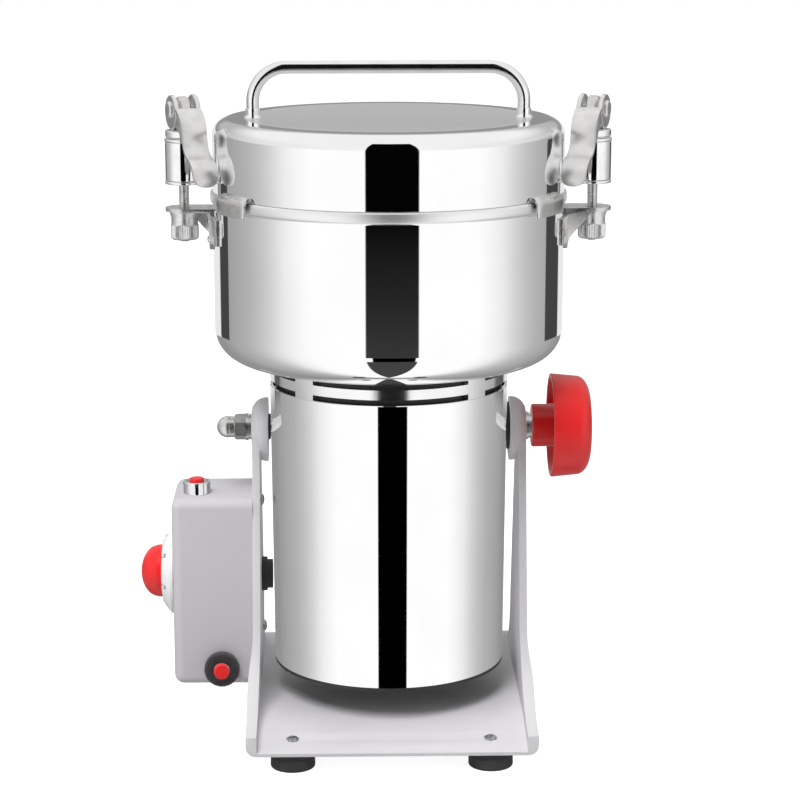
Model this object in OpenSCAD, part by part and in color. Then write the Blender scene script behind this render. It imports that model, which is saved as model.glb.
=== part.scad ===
// Electric grain mill: a motor with a mirror-polished bowl, hung on two pivots in a U-shaped
// cast stand so that it can be tipped to pour. Two cam clamps hold the lift-off lid, a hand
// knob locks the tilt, and a control box with timer, start and reset stands on the left.
// Sizes are millimetres. +Z is up, the front is at -Y and the table is at Z = 0.

/* [Stand] */
// gap between the motor and the stand's side walls
side_gap = 5.9; // [5.5:0.1:6.2]
// thickness of the side walls
wall_t = 4.2; // [3.8:0.1:4.6]
// how far the side walls' foot stands out from the wall above
foot_out = 2.8; // [2:0.1:4]
// depth of the stand, front to back
stand_d = 187; // [182:0.5:192]
// top of the stand's floor above the table
floor_z = 20.8; // [20:0.1:21.4]
// underside of the stand above the table
under_z = 10; // [9:0.1:11]
// thickness of the side walls' foot at the floor
wall_foot_t = 5.9; // [5:0.1:6.5]
// angle of the side walls' edges from upright
lean = 13; // [11:0.5:15]
// radius of the side wall's head
head_r = 13; // [12.4:0.1:13.6]
// radius of the cast boss that carries a pivot
boss_r = 18; // [17.4:0.1:18.6]
// gap between the motor and the boss's inner face
boss_gap = 1.2; // [0.9:0.1:1.6]
// how far the boss stands out from the side wall
boss_rise = 0.5; // [0.3:0.1:1.5]
// rounding of the boss's outer rim
boss_edge = 8.5; // [7:0.1:8.8]
// how far the boss's centre sits under the pivot
boss_drop = 1.5; // [0.5:0.1:2.5]
// radius of the flare where a side wall meets the floor
flare_r = 60; // [52:1:66]
// rounding of the stand's lower corners
corner_r = 5.5; // [4:0.1:6.5]
// radius of the front apron's slope
apron_r = 230; // [210:1:260]
// where the apron's slope starts, in front of the axis
apron_start = 30; // [26:1:36]
// wall and roof thickness of the stand's hollow underside
shell_t = 5; // [4:0.1:5.4]
// radius of a rubber foot
foot_r = 12.2; // [11:0.1:13]
// feet, from the machine's axis to either side
foot_x = 54; // [52:0.5:56]
// feet, from the machine's axis to front and back
foot_y = 80; // [78:0.5:80.5]
// radius of a foot screw's head
foot_screw_r = 2.9; // [2.6:0.1:3.4]

/* [Pivots] */
// height of the tilt axis
pivot_z = 171.8; // [171:0.1:172.5]
// radius of the pivot studs
stud_r = 4; // [3.6:0.1:4.2]
// running clearance around a shaft or pin
run_gap = 0.05; // [0.03:0.01:0.09]
// clearance between flat faces that turn on each other
face_gap = 0.1; // [0.08:0.01:0.15]
// width across the flats of the acorn nut
acorn_af = 13; // [12:0.1:14]
// length of the acorn nut's hexagon
acorn_hex_h = 7; // [6:0.1:8]
// thickness of the washers under the nut and the hand knob
pivot_washer_t = 3; // [2:0.1:3.2]
// radius of those washers
pivot_washer_r = 7.8; // [7:0.1:9]

/* [Hand knob] */
// radius of the cup-shaped hand knob
knob_r = 29.2; // [27:0.1:30]
// depth of the cup
knob_d = 22.3; // [20:0.1:24]
// rounding of the cup's outer corner
knob_edge = 11.5; // [10.5:0.1:12.5]
// wall of the cup
knob_wall = 3.2; // [2.5:0.1:3.6]
// radius of the hub
hub_r = 12.1; // [11:0.1:13]
// length of the hub from the washer to the cup's mouth
hub_len = 10.7; // [9:0.1:12]

/* [Motor] */
// radius of the motor tube's top
motor_r = 66.4; // [66.2:0.1:66.6]
// how much narrower the motor tube's bottom is than its top, in radius
motor_taper = 1.4; // [1.2:0.1:1.6]
// lower end of the motor, above the table
motor_z = 37; // [36.9:0.1:37.6]
// sheet thickness of tube, bowl and lid
sheet_t = 1.5; // [1.2:0.1:1.6]
// thickness of the dark bottom cap's rim
cap_rim_h = 1.4; // [1.2:0.1:2]
// radius of the motor shaft
shaft_r = 5; // [4.6:0.1:5.2]
// radius of the rotor core
rotor_r = 24; // [22:0.1:25]
// air gap between rotor and stator
air_gap = 0.7; // [0.5:0.1:0.9]

/* [Bowl] */
// radius of bowl and lid
bowl_r = 96.5; // [96.2:0.1:96.6]
// from the tilt axis up to the bowl's underside
bowl_rise = 40.5; // [40:0.1:41.2]
// from the bowl's underside up to the rim band
bowl_h = 87.6; // [86:0.1:90]
// rounding of the bowl's lower edge
bowl_edge = 20; // [18:0.5:21]
// height of the rim band
rim_h = 5.8; // [5.4:0.1:6]
// how far the rim band stands out from the bowl
rim_out = 1.5; // [1.3:0.1:1.7]
// height of the ring with the vent slots, between motor tube and bowl
vent_h = 14.6; // [13.8:0.1:15.8]
// height of the upper vent slots
vent_high_h = 3.8; // [3:0.1:4]
// height of the lower vent slots
vent_low_h = 3.2; // [2.6:0.1:3.6]
// width of the posts between the vent slots
vent_post_w = 13.5; // [12:0.5:15]

/* [Lid] */
// height of the lid above the rim band
lid_h = 39.2; // [38.5:0.1:40.5]
// rounding of the lid's shoulder
lid_edge = 9; // [8:0.5:10]
// from the lid's side in to the handle's legs
handle_in = 22.5; // [21.5:0.5:24.5]
// from the lid's top up to the centre of the handle's bar
handle_rise = 27; // [25:0.5:29]
// radius of the handle's rod
handle_r = 3.5; // [3:0.1:3.8]
// bend radius of the handle, at the rod's centre
handle_bend = 18.4; // [17:0.1:20]
// where a lid lug starts, just in front of the clamp's lever, as an angle round the lid
lug_from = 24; // [23:0.5:26]
// where a lid lug ends, as an angle round the lid
lug_to = 40; // [34:0.5:44]

/* [Clamps] */
// from the bowl's side out to a clamp rod
clamp_out = 15.8; // [15.7:0.1:16.3]
// how far each clamp is swung round from pointing at the lid
swing = 68; // [68:0.5:72]
// radius of the clamp rod
rod_r = 3; // [2.8:0.1:3.1]
// radius of the clamp's sleeve
sleeve_r = 10.1; // [9.6:0.1:10.2]
// radius of the clamp's washers
washer_r = 10.4; // [10.2:0.1:10.4]
// from the top of the rim band up to the clamp's lower washer
sleeve_rise = 3.1; // [3:0.1:3.5]
// from the clamp's lower washer up to the lever's pin
pin_rise = 40.5; // [40:0.1:41.2]
// radius of the lever's pin
pin_r = 2.5; // [2.3:0.1:2.6]
// radius of the cam ears
ear_r = 9.4; // [9.2:0.1:9.4]
// width of the lever
lever_w = 14.6; // [13.6:0.1:14.6]
// sheet thickness of the lever's strap
lever_t = 2; // [1.8:0.1:2.2]
// from the rim band down to the bracket's tongue
tongue_drop = 4; // [3.7:0.1:4.3]
// radius of the knurled nut
nut_r = 7.7; // [7.2:0.1:7.9]

/* [Control box] */
// width of the control box
box_w = 45.2; // [43.5:0.1:46.5]
// front face of the control box
box_front = -24; // [-25:0.1:-23]
// back face of the control box
box_back = 31; // [30:0.1:33]
// underside of the control box
box_z = 27.2; // [26.6:0.1:28]
// height of the control box
box_h = 108.1; // [106:0.1:110]
// rounding of the control box
box_edge = 5.5; // [4:0.1:6]
// wall of the control box
box_wall = 2; // [1.8:0.1:2.2]
// radius of the timer's dial plate
dial_r = 24.3; // [23:0.1:25]
// height of the domed dial plate at the knob
dial_h = 7.1; // [6.5:0.1:7.5]
// radius of the timer knob
timer_r = 15; // [14:0.1:15.5]
// height of the timer knob
timer_h = 12.2; // [11:0.1:13]
// centre of the timer above the box's underside
timer_up = 59.8; // [58:0.2:62]
// start button, from the box's left face
start_in = 13.7; // [12.7:0.1:15.7]
// start button, from the box's front
start_back = 18; // [16:0.5:20]
// radius of the chromed ring around the start button
start_ring_r = 7.7; // [7:0.1:8]
// reset button, from the box's left face
reset_in = 27.1; // [25.7:0.1:28.5]
// centre of the reset button above the box's underside
reset_up = 10.6; // [10.3:0.1:11.3]
// radius of the knurled ring around the reset button
reset_ring_r = 9.9; // [9:0.1:10]

/* [Hidden] */
$fn = 72;

// a cut runs this far past the face it opens
cut = knob_r * 1.37;
// clearance between seated pieces of one body
seat = run_gap * 0.4;
wall_in = motor_r + side_gap;
wall_out = wall_in + wall_t;
half_w = wall_out + foot_out;
half_d = stand_d / 2;
boss_in = motor_r + boss_gap;
boss_out = wall_out + boss_rise;
bowl_z = pivot_z + bowl_rise;
motor_top = bowl_z - vent_h;
rim_z = bowl_z + bowl_h;
rim_top = rim_z + rim_h;
rim_r = bowl_r + rim_out;
lid_top = rim_top + lid_h;
handle_x = bowl_r - handle_in;
handle_z = lid_top + handle_rise;
clamp_x = bowl_r + clamp_out;
sleeve_z = rim_top + sleeve_rise;
pin_z = sleeve_z + pin_rise;
tongue_z = rim_z - tongue_drop;
box_x = wall_out + box_w;
box_top = box_z + box_h;
timer_z = box_z + timer_up;
start_x = box_x - start_in;
start_y = box_front + start_back;
reset_x = box_x - reset_in;
reset_z = box_z + reset_up;
left_reach = box_x + dial_h + face_gap + timer_h;
right_reach = clamp_x + washer_r;
// the frame's origin is under the middle of the whole mill, so its axis stands to one side
axis_x = (left_reach - right_reach) / 2;

// side wall outline: the head, a straight leaning edge and a flare that runs into the floor
head_z = pivot_z - boss_drop;
flare_z = floor_z + flare_r;
flare_y = (head_r + flare_r + (head_z - flare_z) * sin(lean)) / cos(lean);
// flare, as points from the stand's end up to the leaning edge
flare_end = 360 - acos((half_d - flare_y) / flare_r);
flare_steps = 16;
flare_edge = [for (i = [0 : flare_steps])
  let (a = flare_end + (180 + lean - flare_end) * i / flare_steps)
  [flare_y + flare_r * cos(a), flare_z + flare_r * sin(a)]];
// front view of a side wall: an S-shaped foot, wider than the wall above it
bulge_z = floor_z * 1.6;
waist_z = floor_z * 3;
front_steps = 8;
foot_in = half_w - wall_foot_t;
pocket_z = floor_z - shell_t;
foot_front_z = floor_z - apron_r + sqrt(pow(apron_r, 2) - pow(foot_y - apron_start, 2));
spot_depth = floor_z * 0.03;
spot_r = foot_screw_r * 1.25;
slot_r = wall_foot_t * 0.34;
slot_len = slot_r * 2;
slot_y = -boss_r * 1.02;
slot_z = box_top - boss_r * 0.89;
grommet_r = boss_r * 0.54;
grommet_hole_r = grommet_r * 0.6;
grommet_in = motor_r - wall_foot_t / 15;
grommet_z = pivot_z / 2;
box_screw_r = stud_r / 2;
box_screw_ys = [boss_r * 0.17, boss_r * 1.22];
box_screw_zs = [pivot_z * 0.75, pivot_z * 0.28];
bore_r = stud_r + run_gap;

// motor parts
motor_low_r = motor_r - motor_taper;
cap_z = motor_z + cap_rim_h;
tube_in_top = motor_r - sheet_t;
tube_in_low = motor_low_r - sheet_t;
motor_h = motor_top - motor_z;
stator_low = motor_z + motor_h * 0.27;
stator_h = motor_h * 0.358;
stator_r = tube_in_low - air_gap;
stator_in = rotor_r + air_gap;
coil_h = motor_h * 0.0747;
bearing_r = shaft_r * 2.6;
bearing_h = shaft_r * 1.8;
low_bearing_z = cap_z + shaft_r * 1.2;
plate_z = motor_top - shaft_r * 2.6;
plate_t = shaft_r * 0.8;
top_bearing_z = plate_z + plate_t;
commutator_r = rotor_r * 0.6;
commutator_z = low_bearing_z + bearing_h + shaft_r * 0.6;
commutator_h = motor_h * 0.073;
fan_z = stator_low + stator_h + coil_h + shaft_r;
fan_h = motor_h * 0.0896;
fan_blade_count = 8;
shaft_low = low_bearing_z + sheet_t;
shaft_top = bowl_z + shaft_r * 6.6;
blade_low_z = bowl_z + shaft_r * 2.2;
blade_high_z = bowl_z + shaft_r * 4.8;
blade_t = shaft_r * 0.6;
blade_nut_h = shaft_r * 1.2;

// rim, lid and lugs
wall_in_r = bowl_r - sheet_t;
rim_edge = rim_out * 0.8;
lug_r = rim_h * 0.88;
lug_t = sheet_t * 4 / 3;
lug_x = bowl_r + seat;
lug_z = rim_top - lug_r * 0.4;

// pivot stack on each side, outwards from the boss
washer_x = boss_out + face_gap;
stack_x = washer_x + pivot_washer_t;
knob_mouth_x = stack_x + hub_len;
stud_end_left = stack_x + acorn_hex_h * 1.4;
stud_end_right = stack_x + hub_len + stud_r;
spacer_r_left = pivot_washer_r * 0.93;
spacer_r_right = hub_r * 1.1;
stud_head_r = stud_r * 2.2;
stud_head_x = tube_in_low - stud_r * 1.2;

// clamp stack, upwards from the lower washer
washer_h = sheet_t * 4 / 3;
sleeve_low = sleeve_z + washer_h + seat;
sleeve_h = pin_rise * 0.521;
top_washer_z = sleeve_low + sleeve_h + seat;
top_washer_h = washer_h * 1.2;
spacer_z = top_washer_z + top_washer_h + seat;
spacer_h = washer_h * 1.9;
eye_r = pin_r * 2.8;
eye_t = rod_r * 2;
rod_low = tongue_z - nut_r * 2.45;
cam_u = pin_r * 0.32;
cam_drop = pin_r * 0.52;
ear_t = lever_t * 1.2;
pin_gap = run_gap * 0.4;
pin_head_r = pin_r * 1.9;
pin_head_t = pin_r * 0.6;
tongue_t = washer_h;
tongue_r = washer_r;
nut_top = tongue_z - tongue_t - face_gap;
nut_h = nut_r * 2.03;
knurl_count = 24;

// the lever's strap: three arcs in a row, from the cam ears down to the lip
// each arc is [radius, start angle, end angle], angles down from level
arc_r = ear_r * 1.617;
start_angle = 16;
bend_angle = 88;
waist_angle = 15;
lip_angle = 95;
arcs = [[arc_r, start_angle, bend_angle], [arc_r * 0.79, bend_angle, waist_angle],
  [arc_r * 0.855, waist_angle, lip_angle]];
strap_u = ear_r * 0.926;
strap_rise = pin_r * 0.28;
arc_steps = 8;
// two rivets hold each bracket to the bowl
rivet_r = washer_h;
rivet_zs = [tongue_z - tongue_r * 0.78, tongue_z - tongue_r * 1.72];

// control box
timer_y = (box_front + box_back) / 2;
timer_shaft_r = timer_r / 5;
dial_rim_h = dial_h / 3;
dial_sag = dial_h - dial_rim_h;
dial_ball_c = (pow(dial_r, 2) - pow(timer_r, 2) - pow(dial_sag, 2)) / (2 * dial_sag);
dial_ball_r = sqrt(pow(dial_r, 2) + pow(dial_ball_c, 2));
timer_ball_r = (pow(timer_r, 2) + pow(timer_h, 2)) / (2 * timer_h);
start_ring_h = start_ring_r * 0.9;
start_r = start_ring_r * 0.55;
start_gap = start_ring_r * 0.03;
start_travel = start_ring_r / 3;
reset_ring_h = reset_ring_r * 0.65;
reset_r = reset_ring_r * 0.44;
reset_gap = reset_ring_r * 0.03;
reset_travel = reset_ring_r / 5;
post_len = box_screw_r * 8;
post_r = box_screw_r * 2.2;

// helpers used by several pieces
module at_axis() translate([axis_x, 0, 0]) children();

// turns a flat outline, drawn as (y, z), into a slab along X
module along_x(x, length) translate([x, 0, 0]) rotate([90, 0, 90])
  linear_extrude(length) children();

// turns a flat outline, drawn as (x, z), into a slab along Y
module along_y(y, length) translate([0, y + length, 0]) rotate([90, 0, 0])
  linear_extrude(length) children();

// cylinder that starts at x and runs outwards along X
module rod_x(x, length, r) translate([x, 0, 0]) rotate([0, 90, 0]) cylinder(h = length, r = r);

// tube about Z
module tube(z, h, r_out, r_in) translate([0, 0, z]) difference() {
  cylinder(h = h, r = r_out);
  translate([0, 0, -cut]) cylinder(h = h + 2 * cut, r = r_in);
}

// flat outline of a rectangle with rounded corners
module round_rect(x0, y0, x1, y1, r) {
  translate([x0 + r, y0]) square([x1 - x0 - 2 * r, y1 - y0]);
  translate([x0, y0 + r]) square([x1 - x0, y1 - y0 - 2 * r]);
  for (x = [x0 + r, x1 - r], y = [y0 + r, y1 - r]) translate([x, y]) circle(r = r);
}

// half outline, for turning about Z, of a solid drum with its top rim rounded
module drum_half(r, h, edge) {
  square([r - edge, h]);
  square([r, h - edge]);
  translate([r - edge, h - edge]) circle(r = edge);
}

module round_drum(r, h, edge) rotate_extrude() intersection() {
  drum_half(r, h, edge);
  square([r, h]);
}

module at_clamp(side) {
  if (side < 0) translate([-clamp_x, 0, 0]) rotate([0, 0, -swing]) children();
  else mirror([1, 0, 0]) translate([-clamp_x, 0, 0]) rotate([0, 0, -swing]) children();
}

module mirrored_x() {
  children();
  mirror([1, 0, 0]) children();
}

// the stand and what is screwed to it
// side view of a side wall, drawn as (y, z)
module wall_side() {
  translate([0, head_z]) circle(r = head_r);
  head_y = head_r * cos(lean);
  head_edge_z = head_z + head_r * sin(lean);
  polygon(concat(
    [[half_d, under_z]], flare_edge, [[head_y, head_edge_z], [-head_y, head_edge_z]],
    [for (i = [flare_steps : -1 : 0]) [-flare_edge[i].x, flare_edge[i].y]], [[-half_d, under_z]]));
}

// outer front view of stand, grown by gap on both sides
module stand_front(gap) {
  right = [for (i = [0 : front_steps])
    let (share = i / front_steps)
    [wall_out + gap + (half_w - wall_out) * (1 + cos(180 * share)) / 2,
      bulge_z + (waist_z - bulge_z) * share]];
  top = head_z + boss_r;
  polygon(concat(
    [[half_w + gap - corner_r, under_z], [half_w + gap, under_z + corner_r]], right,
    [[wall_out + gap, top], [-wall_out - gap, top]],
    [for (i = [front_steps : -1 : 0]) [-right[i].x, right[i].y]],
    [[-half_w - gap, under_z + corner_r], [-half_w - gap + corner_r, under_z]]));
  for (side = [-1, 1]) translate([side * (half_w + gap - corner_r), under_z + corner_r])
    circle(r = corner_r);
}

module floor_side() intersection() {
  translate([-half_d, under_z]) square([stand_d, floor_z - under_z]);
  union() {
    translate([-apron_start, under_z]) square([stand_d, floor_z]);
    translate([-apron_start, floor_z - apron_r]) circle(r = apron_r, $fn = 360);
  }
}

module boss() translate([boss_in, 0, head_z]) rotate([0, 90, 0])
  round_drum(boss_r, boss_out - boss_in, boss_edge);

module stand() color([0.80, 0.79, 0.81]) at_axis() difference() {
  union() {
    intersection() {
      along_y(-half_d, stand_d) stand_front(0);
      union() {
        difference() {
          along_x(-half_w, 2 * half_w) wall_side();
          along_y(-half_d - cut, stand_d + 2 * cut) polygon([
            [-foot_in, under_z - cut], [foot_in, under_z - cut], [foot_in, floor_z], [wall_in, waist_z],
            [wall_in, head_z + cut], [-wall_in, head_z + cut], [-wall_in, waist_z],
            [-foot_in, floor_z]]);
        }
        along_x(-half_w, 2 * half_w) floor_side();
      }
    }
    mirrored_x() boss();
  }
  difference() {
    translate([-foot_in, -foot_y + shell_t, under_z - cut])
      cube([2 * foot_in, 2 * (foot_y - shell_t) + shell_t, cut + pocket_z - under_z]);
    for (x = [-foot_x, foot_x], y = [-foot_y, foot_y]) translate([x, y, 0])
      cylinder(h = floor_z, r = foot_r + sheet_t);
  }
  for (x = [-foot_x, foot_x], y = [-foot_y, foot_y]) translate([x, y, 0])
    cylinder(h = floor_z + cut, r = box_screw_r + seat);
  for (x = [-foot_x, foot_x]) translate([x, -foot_y, foot_front_z - spot_depth])
    cylinder(h = cut, r = spot_r);
  mirrored_x() translate([0, 0, pivot_z]) rod_x(boss_in - cut, boss_out - boss_in + 2 * cut, bore_r);
  for (i = [0, 1]) translate([0, box_screw_ys[i], box_screw_zs[i]])
    rod_x(-wall_out - cut, cut * 1.5, box_screw_r + seat);
  translate([0, 0, grommet_z]) rod_x(-wall_out - cut, cut * 1.5, grommet_hole_r);
  for (y = [slot_y - slot_len / 2, slot_y + slot_len / 2]) translate([0, y, slot_z])
    rod_x(-wall_out - cut, cut * 1.5, slot_r);
  translate([-wall_out - cut, slot_y - slot_len / 2, slot_z - slot_r])
    cube([cut * 1.5, slot_len, 2 * slot_r]);
}

module feet() color([0.20, 0.20, 0.21]) at_axis()
  for (x = [-foot_x, foot_x], y = [-foot_y, foot_y]) translate([x, y, 0]) difference() {
    cylinder(h = under_z - seat, r = foot_r);
    translate([0, 0, -cut]) cylinder(h = cut + under_z / 3, r = foot_r / 3);
    cylinder(h = under_z + cut, r = box_screw_r + seat);
  }

module foot_screw(head_z0) {
  translate([0, 0, head_z0]) round_drum(foot_screw_r, box_screw_r, box_screw_r * 0.8);
  translate([0, 0, under_z / 2]) cylinder(h = head_z0 - under_z / 2, r = box_screw_r);
}

module foot_screws() color([0.62, 0.62, 0.64]) at_axis() for (x = [-foot_x, foot_x]) {
  translate([x, -foot_y, 0]) foot_screw(foot_front_z - spot_depth + seat);
  translate([x, foot_y, 0]) foot_screw(floor_z + seat);
}

// the control box with timer, start and reset
// sheet-metal outline of the box, grown inwards by inset
module box_solid(inset) intersection() {
  along_y(box_front - cut, cut * 4) difference() {
    round_rect(-box_x + inset, box_z + inset, cut, box_top - inset, box_edge - inset);
    stand_front(face_gap);
    translate([-wall_out + seat, 0]) square([2 * cut, box_top + cut]);
  }
  along_x(-box_x, cut * 2)
    round_rect(box_front + inset, box_z + inset, box_back - inset, box_top - inset, box_edge - inset);
  linear_extrude(box_top + cut)
    round_rect(-box_x + inset, box_front + inset, cut, box_back - inset, box_edge - inset);
}

module control_box() color([0.79, 0.78, 0.80]) at_axis() difference() {
  union() {
    difference() {
      box_solid(0);
      translate([-box_x + box_wall, box_front + box_wall, box_z + box_wall])
        cube([box_x, box_back - box_front - 2 * box_wall, box_top - box_z - 2 * box_wall]);
    }
    intersection() {
      union() {
        for (i = [0, 1]) translate([0, box_screw_ys[i], box_screw_zs[i]])
          rod_x(-wall_out - post_len, post_len, post_r);
        translate([-wall_out - post_len, box_screw_ys[0] - post_r, box_screw_zs[0]])
          cube([post_len, 2 * post_r, box_top - box_screw_zs[0]]);
        translate([-wall_out - post_len, box_screw_ys[1], box_screw_zs[1] - post_r])
          cube([post_len, box_back - box_screw_ys[1], 2 * post_r]);
      }
      box_solid(0);
    }
  }
  for (i = [0, 1]) translate([0, box_screw_ys[i], box_screw_zs[i]])
    rod_x(-wall_out - post_len * 0.8, cut, box_screw_r + seat);
  translate([0, timer_y, timer_z]) rod_x(-box_x - cut, cut + box_wall * 2, timer_shaft_r * 1.3);
  translate([-start_x, start_y, box_top - box_wall * 2]) cylinder(h = cut, r = start_r + start_gap * 2);
  translate([-reset_x, box_front + box_wall * 2, reset_z]) rotate([90, 0, 0])
    cylinder(h = cut, r = reset_r + reset_gap * 2);
  translate([-start_x, box_back - box_wall * 2, box_z + grommet_r * 2]) rotate([-90, 0, 0])
    cylinder(h = cut, r = grommet_hole_r);
}

module box_screws() color([0.55, 0.55, 0.57]) at_axis()
  for (i = [0, 1]) translate([-wall_in + seat, box_screw_ys[i], box_screw_zs[i]]) rotate([0, 90, 0]) {
    round_drum(box_screw_r * 1.7, box_screw_r, box_screw_r * 0.8);
    translate([0, 0, -box_screw_r * 5]) cylinder(h = box_screw_r * 5, r = box_screw_r);
  }

module cable_grommet() color([0.10, 0.10, 0.11]) at_axis() translate([0, 0, grommet_z]) difference() {
  union() {
    rod_x(-wall_in + seat, wall_in - grommet_in - seat, grommet_r * 0.85);
    rod_x(-wall_in + seat, (wall_in - grommet_in) / 2, grommet_r);
    rod_x(-wall_out - wall_foot_t / 2, wall_foot_t * 1.5, grommet_hole_r - seat);
  }
  rod_x(-wall_out - cut, cut + wall_out - wall_in + wall_foot_t / 3, grommet_hole_r / 2);
}

module cord_gland() color([0.12, 0.12, 0.13]) at_axis()
  translate([-start_x, box_back, box_z + grommet_r * 2]) rotate([-90, 0, 0]) difference() {
    union() {
      translate([0, 0, seat])
        cylinder(h = grommet_hole_r * 1.6, r1 = grommet_hole_r * 1.5, r2 = grommet_hole_r);
      translate([0, 0, -box_wall * 2]) cylinder(h = box_wall * 3, r = grommet_hole_r - seat);
    }
    translate([0, 0, -cut]) cylinder(h = 2 * cut, r = grommet_hole_r * 0.58);
  }

module dial_plate() color([0.86, 0.86, 0.87]) at_axis()
  translate([-box_x - seat, timer_y, timer_z]) rotate([0, -90, 0]) difference() {
    intersection() {
      cylinder(h = dial_h, r = dial_r);
      translate([0, 0, dial_rim_h - dial_ball_c]) sphere(r = dial_ball_r, $fn = 144);
    }
    translate([0, 0, -cut]) cylinder(h = 2 * cut, r = timer_shaft_r * 1.2);
  }

module timer_body() color([0.22, 0.22, 0.23]) at_axis()
  translate([-box_x + box_wall + seat, timer_y, timer_z]) difference() {
    translate([0, -timer_r, -timer_r]) cube([timer_r * 1.6, 2 * timer_r, 2 * timer_r]);
    rod_x(-cut, cut + timer_r, timer_shaft_r + run_gap);
  }

module timer_knob() color([0.88, 0.12, 0.15]) at_axis()
  translate([-box_x - dial_h - face_gap, timer_y, timer_z]) rotate([0, -90, 0]) {
    intersection() {
      cylinder(h = timer_h, r = timer_r);
      translate([0, 0, timer_h - timer_ball_r]) sphere(r = timer_ball_r);
    }
    translate([0, 0, -dial_h - timer_r]) cylinder(h = dial_h + timer_r, r = timer_shaft_r);
  }

module start_ring() color([0.82, 0.82, 0.84]) at_axis()
  translate([-start_x, start_y, box_top + seat]) difference() {
    round_drum(start_ring_r, start_ring_h, start_ring_r / 10);
    translate([0, 0, -cut]) cylinder(h = 2 * cut, r = start_r + start_gap);
  }

module start_switch() color([0.15, 0.15, 0.16]) at_axis()
  translate([-start_x, start_y, box_top - box_wall - seat - start_ring_r * 2.4]) difference() {
    cylinder(h = start_ring_r * 2.4, r = start_ring_r);
    translate([0, 0, start_ring_r]) cylinder(h = cut, r = start_r + start_gap);
  }

module start_button() color([0.88, 0.12, 0.15]) at_axis()
  translate([-start_x, start_y, box_top - start_ring_r])
    round_drum(start_r, start_ring_r + start_ring_h + start_travel, start_r / 4);

module reset_ring() color([0.10, 0.10, 0.11]) at_axis()
  translate([-reset_x, box_front - seat, reset_z]) rotate([90, 0, 0]) difference() {
    round_drum(reset_ring_r, reset_ring_h, reset_ring_r / 10);
    translate([0, 0, -cut]) cylinder(h = 2 * cut, r = reset_r + reset_gap);
    for (i = [0 : knurl_count - 1]) rotate([0, 0, 360 * i / knurl_count])
      translate([reset_ring_r * 1.03, 0, -cut]) cylinder(h = 2 * cut, r = reset_ring_r / 20, $fn = 6);
  }

module breaker_body() color([0.15, 0.15, 0.16]) at_axis()
  translate([-reset_x, box_front + box_wall + seat, reset_z]) rotate([-90, 0, 0]) difference() {
    cylinder(h = reset_ring_r * 2.6, r = reset_r * 1.5);
    translate([0, 0, -cut]) cylinder(h = cut + reset_ring_r * 1.4, r = reset_r + reset_gap);
  }

module reset_button() color([0.88, 0.12, 0.15]) at_axis()
  translate([-reset_x, box_front + reset_ring_r, reset_z]) rotate([90, 0, 0])
    round_drum(reset_r, reset_ring_r + reset_ring_h + reset_travel * 1.25, reset_r / 4);

// the motor and the pivots that carry it
module motor_tube() color([0.85, 0.85, 0.86]) at_axis() difference() {
  tube_h = motor_top - cap_z - 2 * seat;
  translate([0, 0, cap_z + seat]) cylinder(h = tube_h, r1 = motor_low_r, r2 = motor_r);
  translate([0, 0, cap_z + seat]) cylinder(h = tube_h, r1 = tube_in_low, r2 = tube_in_top);
  translate([0, 0, pivot_z]) rod_x(-motor_r - cut, 2 * (motor_r + cut), stud_r + seat);
  translate([0, 0, cap_z]) cylinder(h = sheet_t, r = tube_in_low);
}

module motor_cap() color([0.13, 0.13, 0.14]) at_axis() difference() {
  union() {
    translate([0, 0, motor_z]) cylinder(h = cap_rim_h, r = motor_low_r);
    translate([0, 0, cap_z]) cylinder(h = sheet_t * 3, r = tube_in_low - seat * 5);
    translate([0, 0, cap_z]) cylinder(h = low_bearing_z + bearing_h - cap_z, r = bearing_r * 1.3);
  }
  translate([0, 0, low_bearing_z]) cylinder(h = cut, r = bearing_r + seat);
  slot_count = 10;
  for (i = [0 : slot_count - 1]) rotate([0, 0, 360 * (i + 0.5) / slot_count])
    translate([bearing_r * 1.8, -sheet_t, motor_z - cut]) cube([bearing_r * 1.6, 2 * sheet_t, 2 * cut]);
  for (a = [90 : 120 : 330]) rotate([0, 0, a]) translate([bearing_r * 4, 0, motor_z - cut])
    cylinder(h = cut * 2, r = box_screw_r + seat);
}

module cap_screws() color([0.55, 0.55, 0.57]) at_axis()
  for (a = [90 : 120 : 330]) rotate([0, 0, a]) translate([bearing_r * 4, 0, motor_z - seat]) {
    mirror([0, 0, 1]) round_drum(box_screw_r * 1.8, box_screw_r * 0.6, box_screw_r / 2);
    cylinder(h = cap_rim_h + sheet_t * 3, r = box_screw_r);
  }

module vent_ring() color([0.80, 0.80, 0.82]) at_axis() difference() {
  translate([0, 0, motor_top]) cylinder(h = bowl_z - motor_top - seat, r = motor_r);
  translate([0, 0, motor_top - cut])
    cylinder(h = bowl_z - motor_top + 2 * cut, r = tube_in_top - sheet_t);
  band = bowl_z - sheet_t * 1.5 - vent_high_h;
  for (z = [[motor_top - seat, vent_low_h], [band, vent_high_h]]) translate([0, 0, z[0]])
    difference() {
      cylinder(h = z[1], r = motor_r + cut);
      for (a = [45, 135]) rotate([0, 0, a]) translate([-motor_r - cut, -vent_post_w / 2, -cut])
        cube([2 * (motor_r + cut), vent_post_w, 2 * cut]);
    }
}

module bearing_plate() color([0.60, 0.60, 0.62]) at_axis() difference() {
  union() {
    translate([0, 0, plate_z]) cylinder(h = plate_t, r = tube_in_low);
    translate([0, 0, plate_z]) cylinder(h = plate_t + bearing_h, r = bearing_r * 1.3);
  }
  translate([0, 0, top_bearing_z]) cylinder(h = cut, r = bearing_r + seat);
  translate([0, 0, plate_z - cut]) cylinder(h = 2 * cut, r = shaft_r * 1.4);
  for (a = [0 : 60 : 300]) rotate([0, 0, a]) translate([bearing_r * 2.9, 0, plate_z - cut])
    cylinder(h = 2 * cut, r = bearing_r * 0.9);
}

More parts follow.
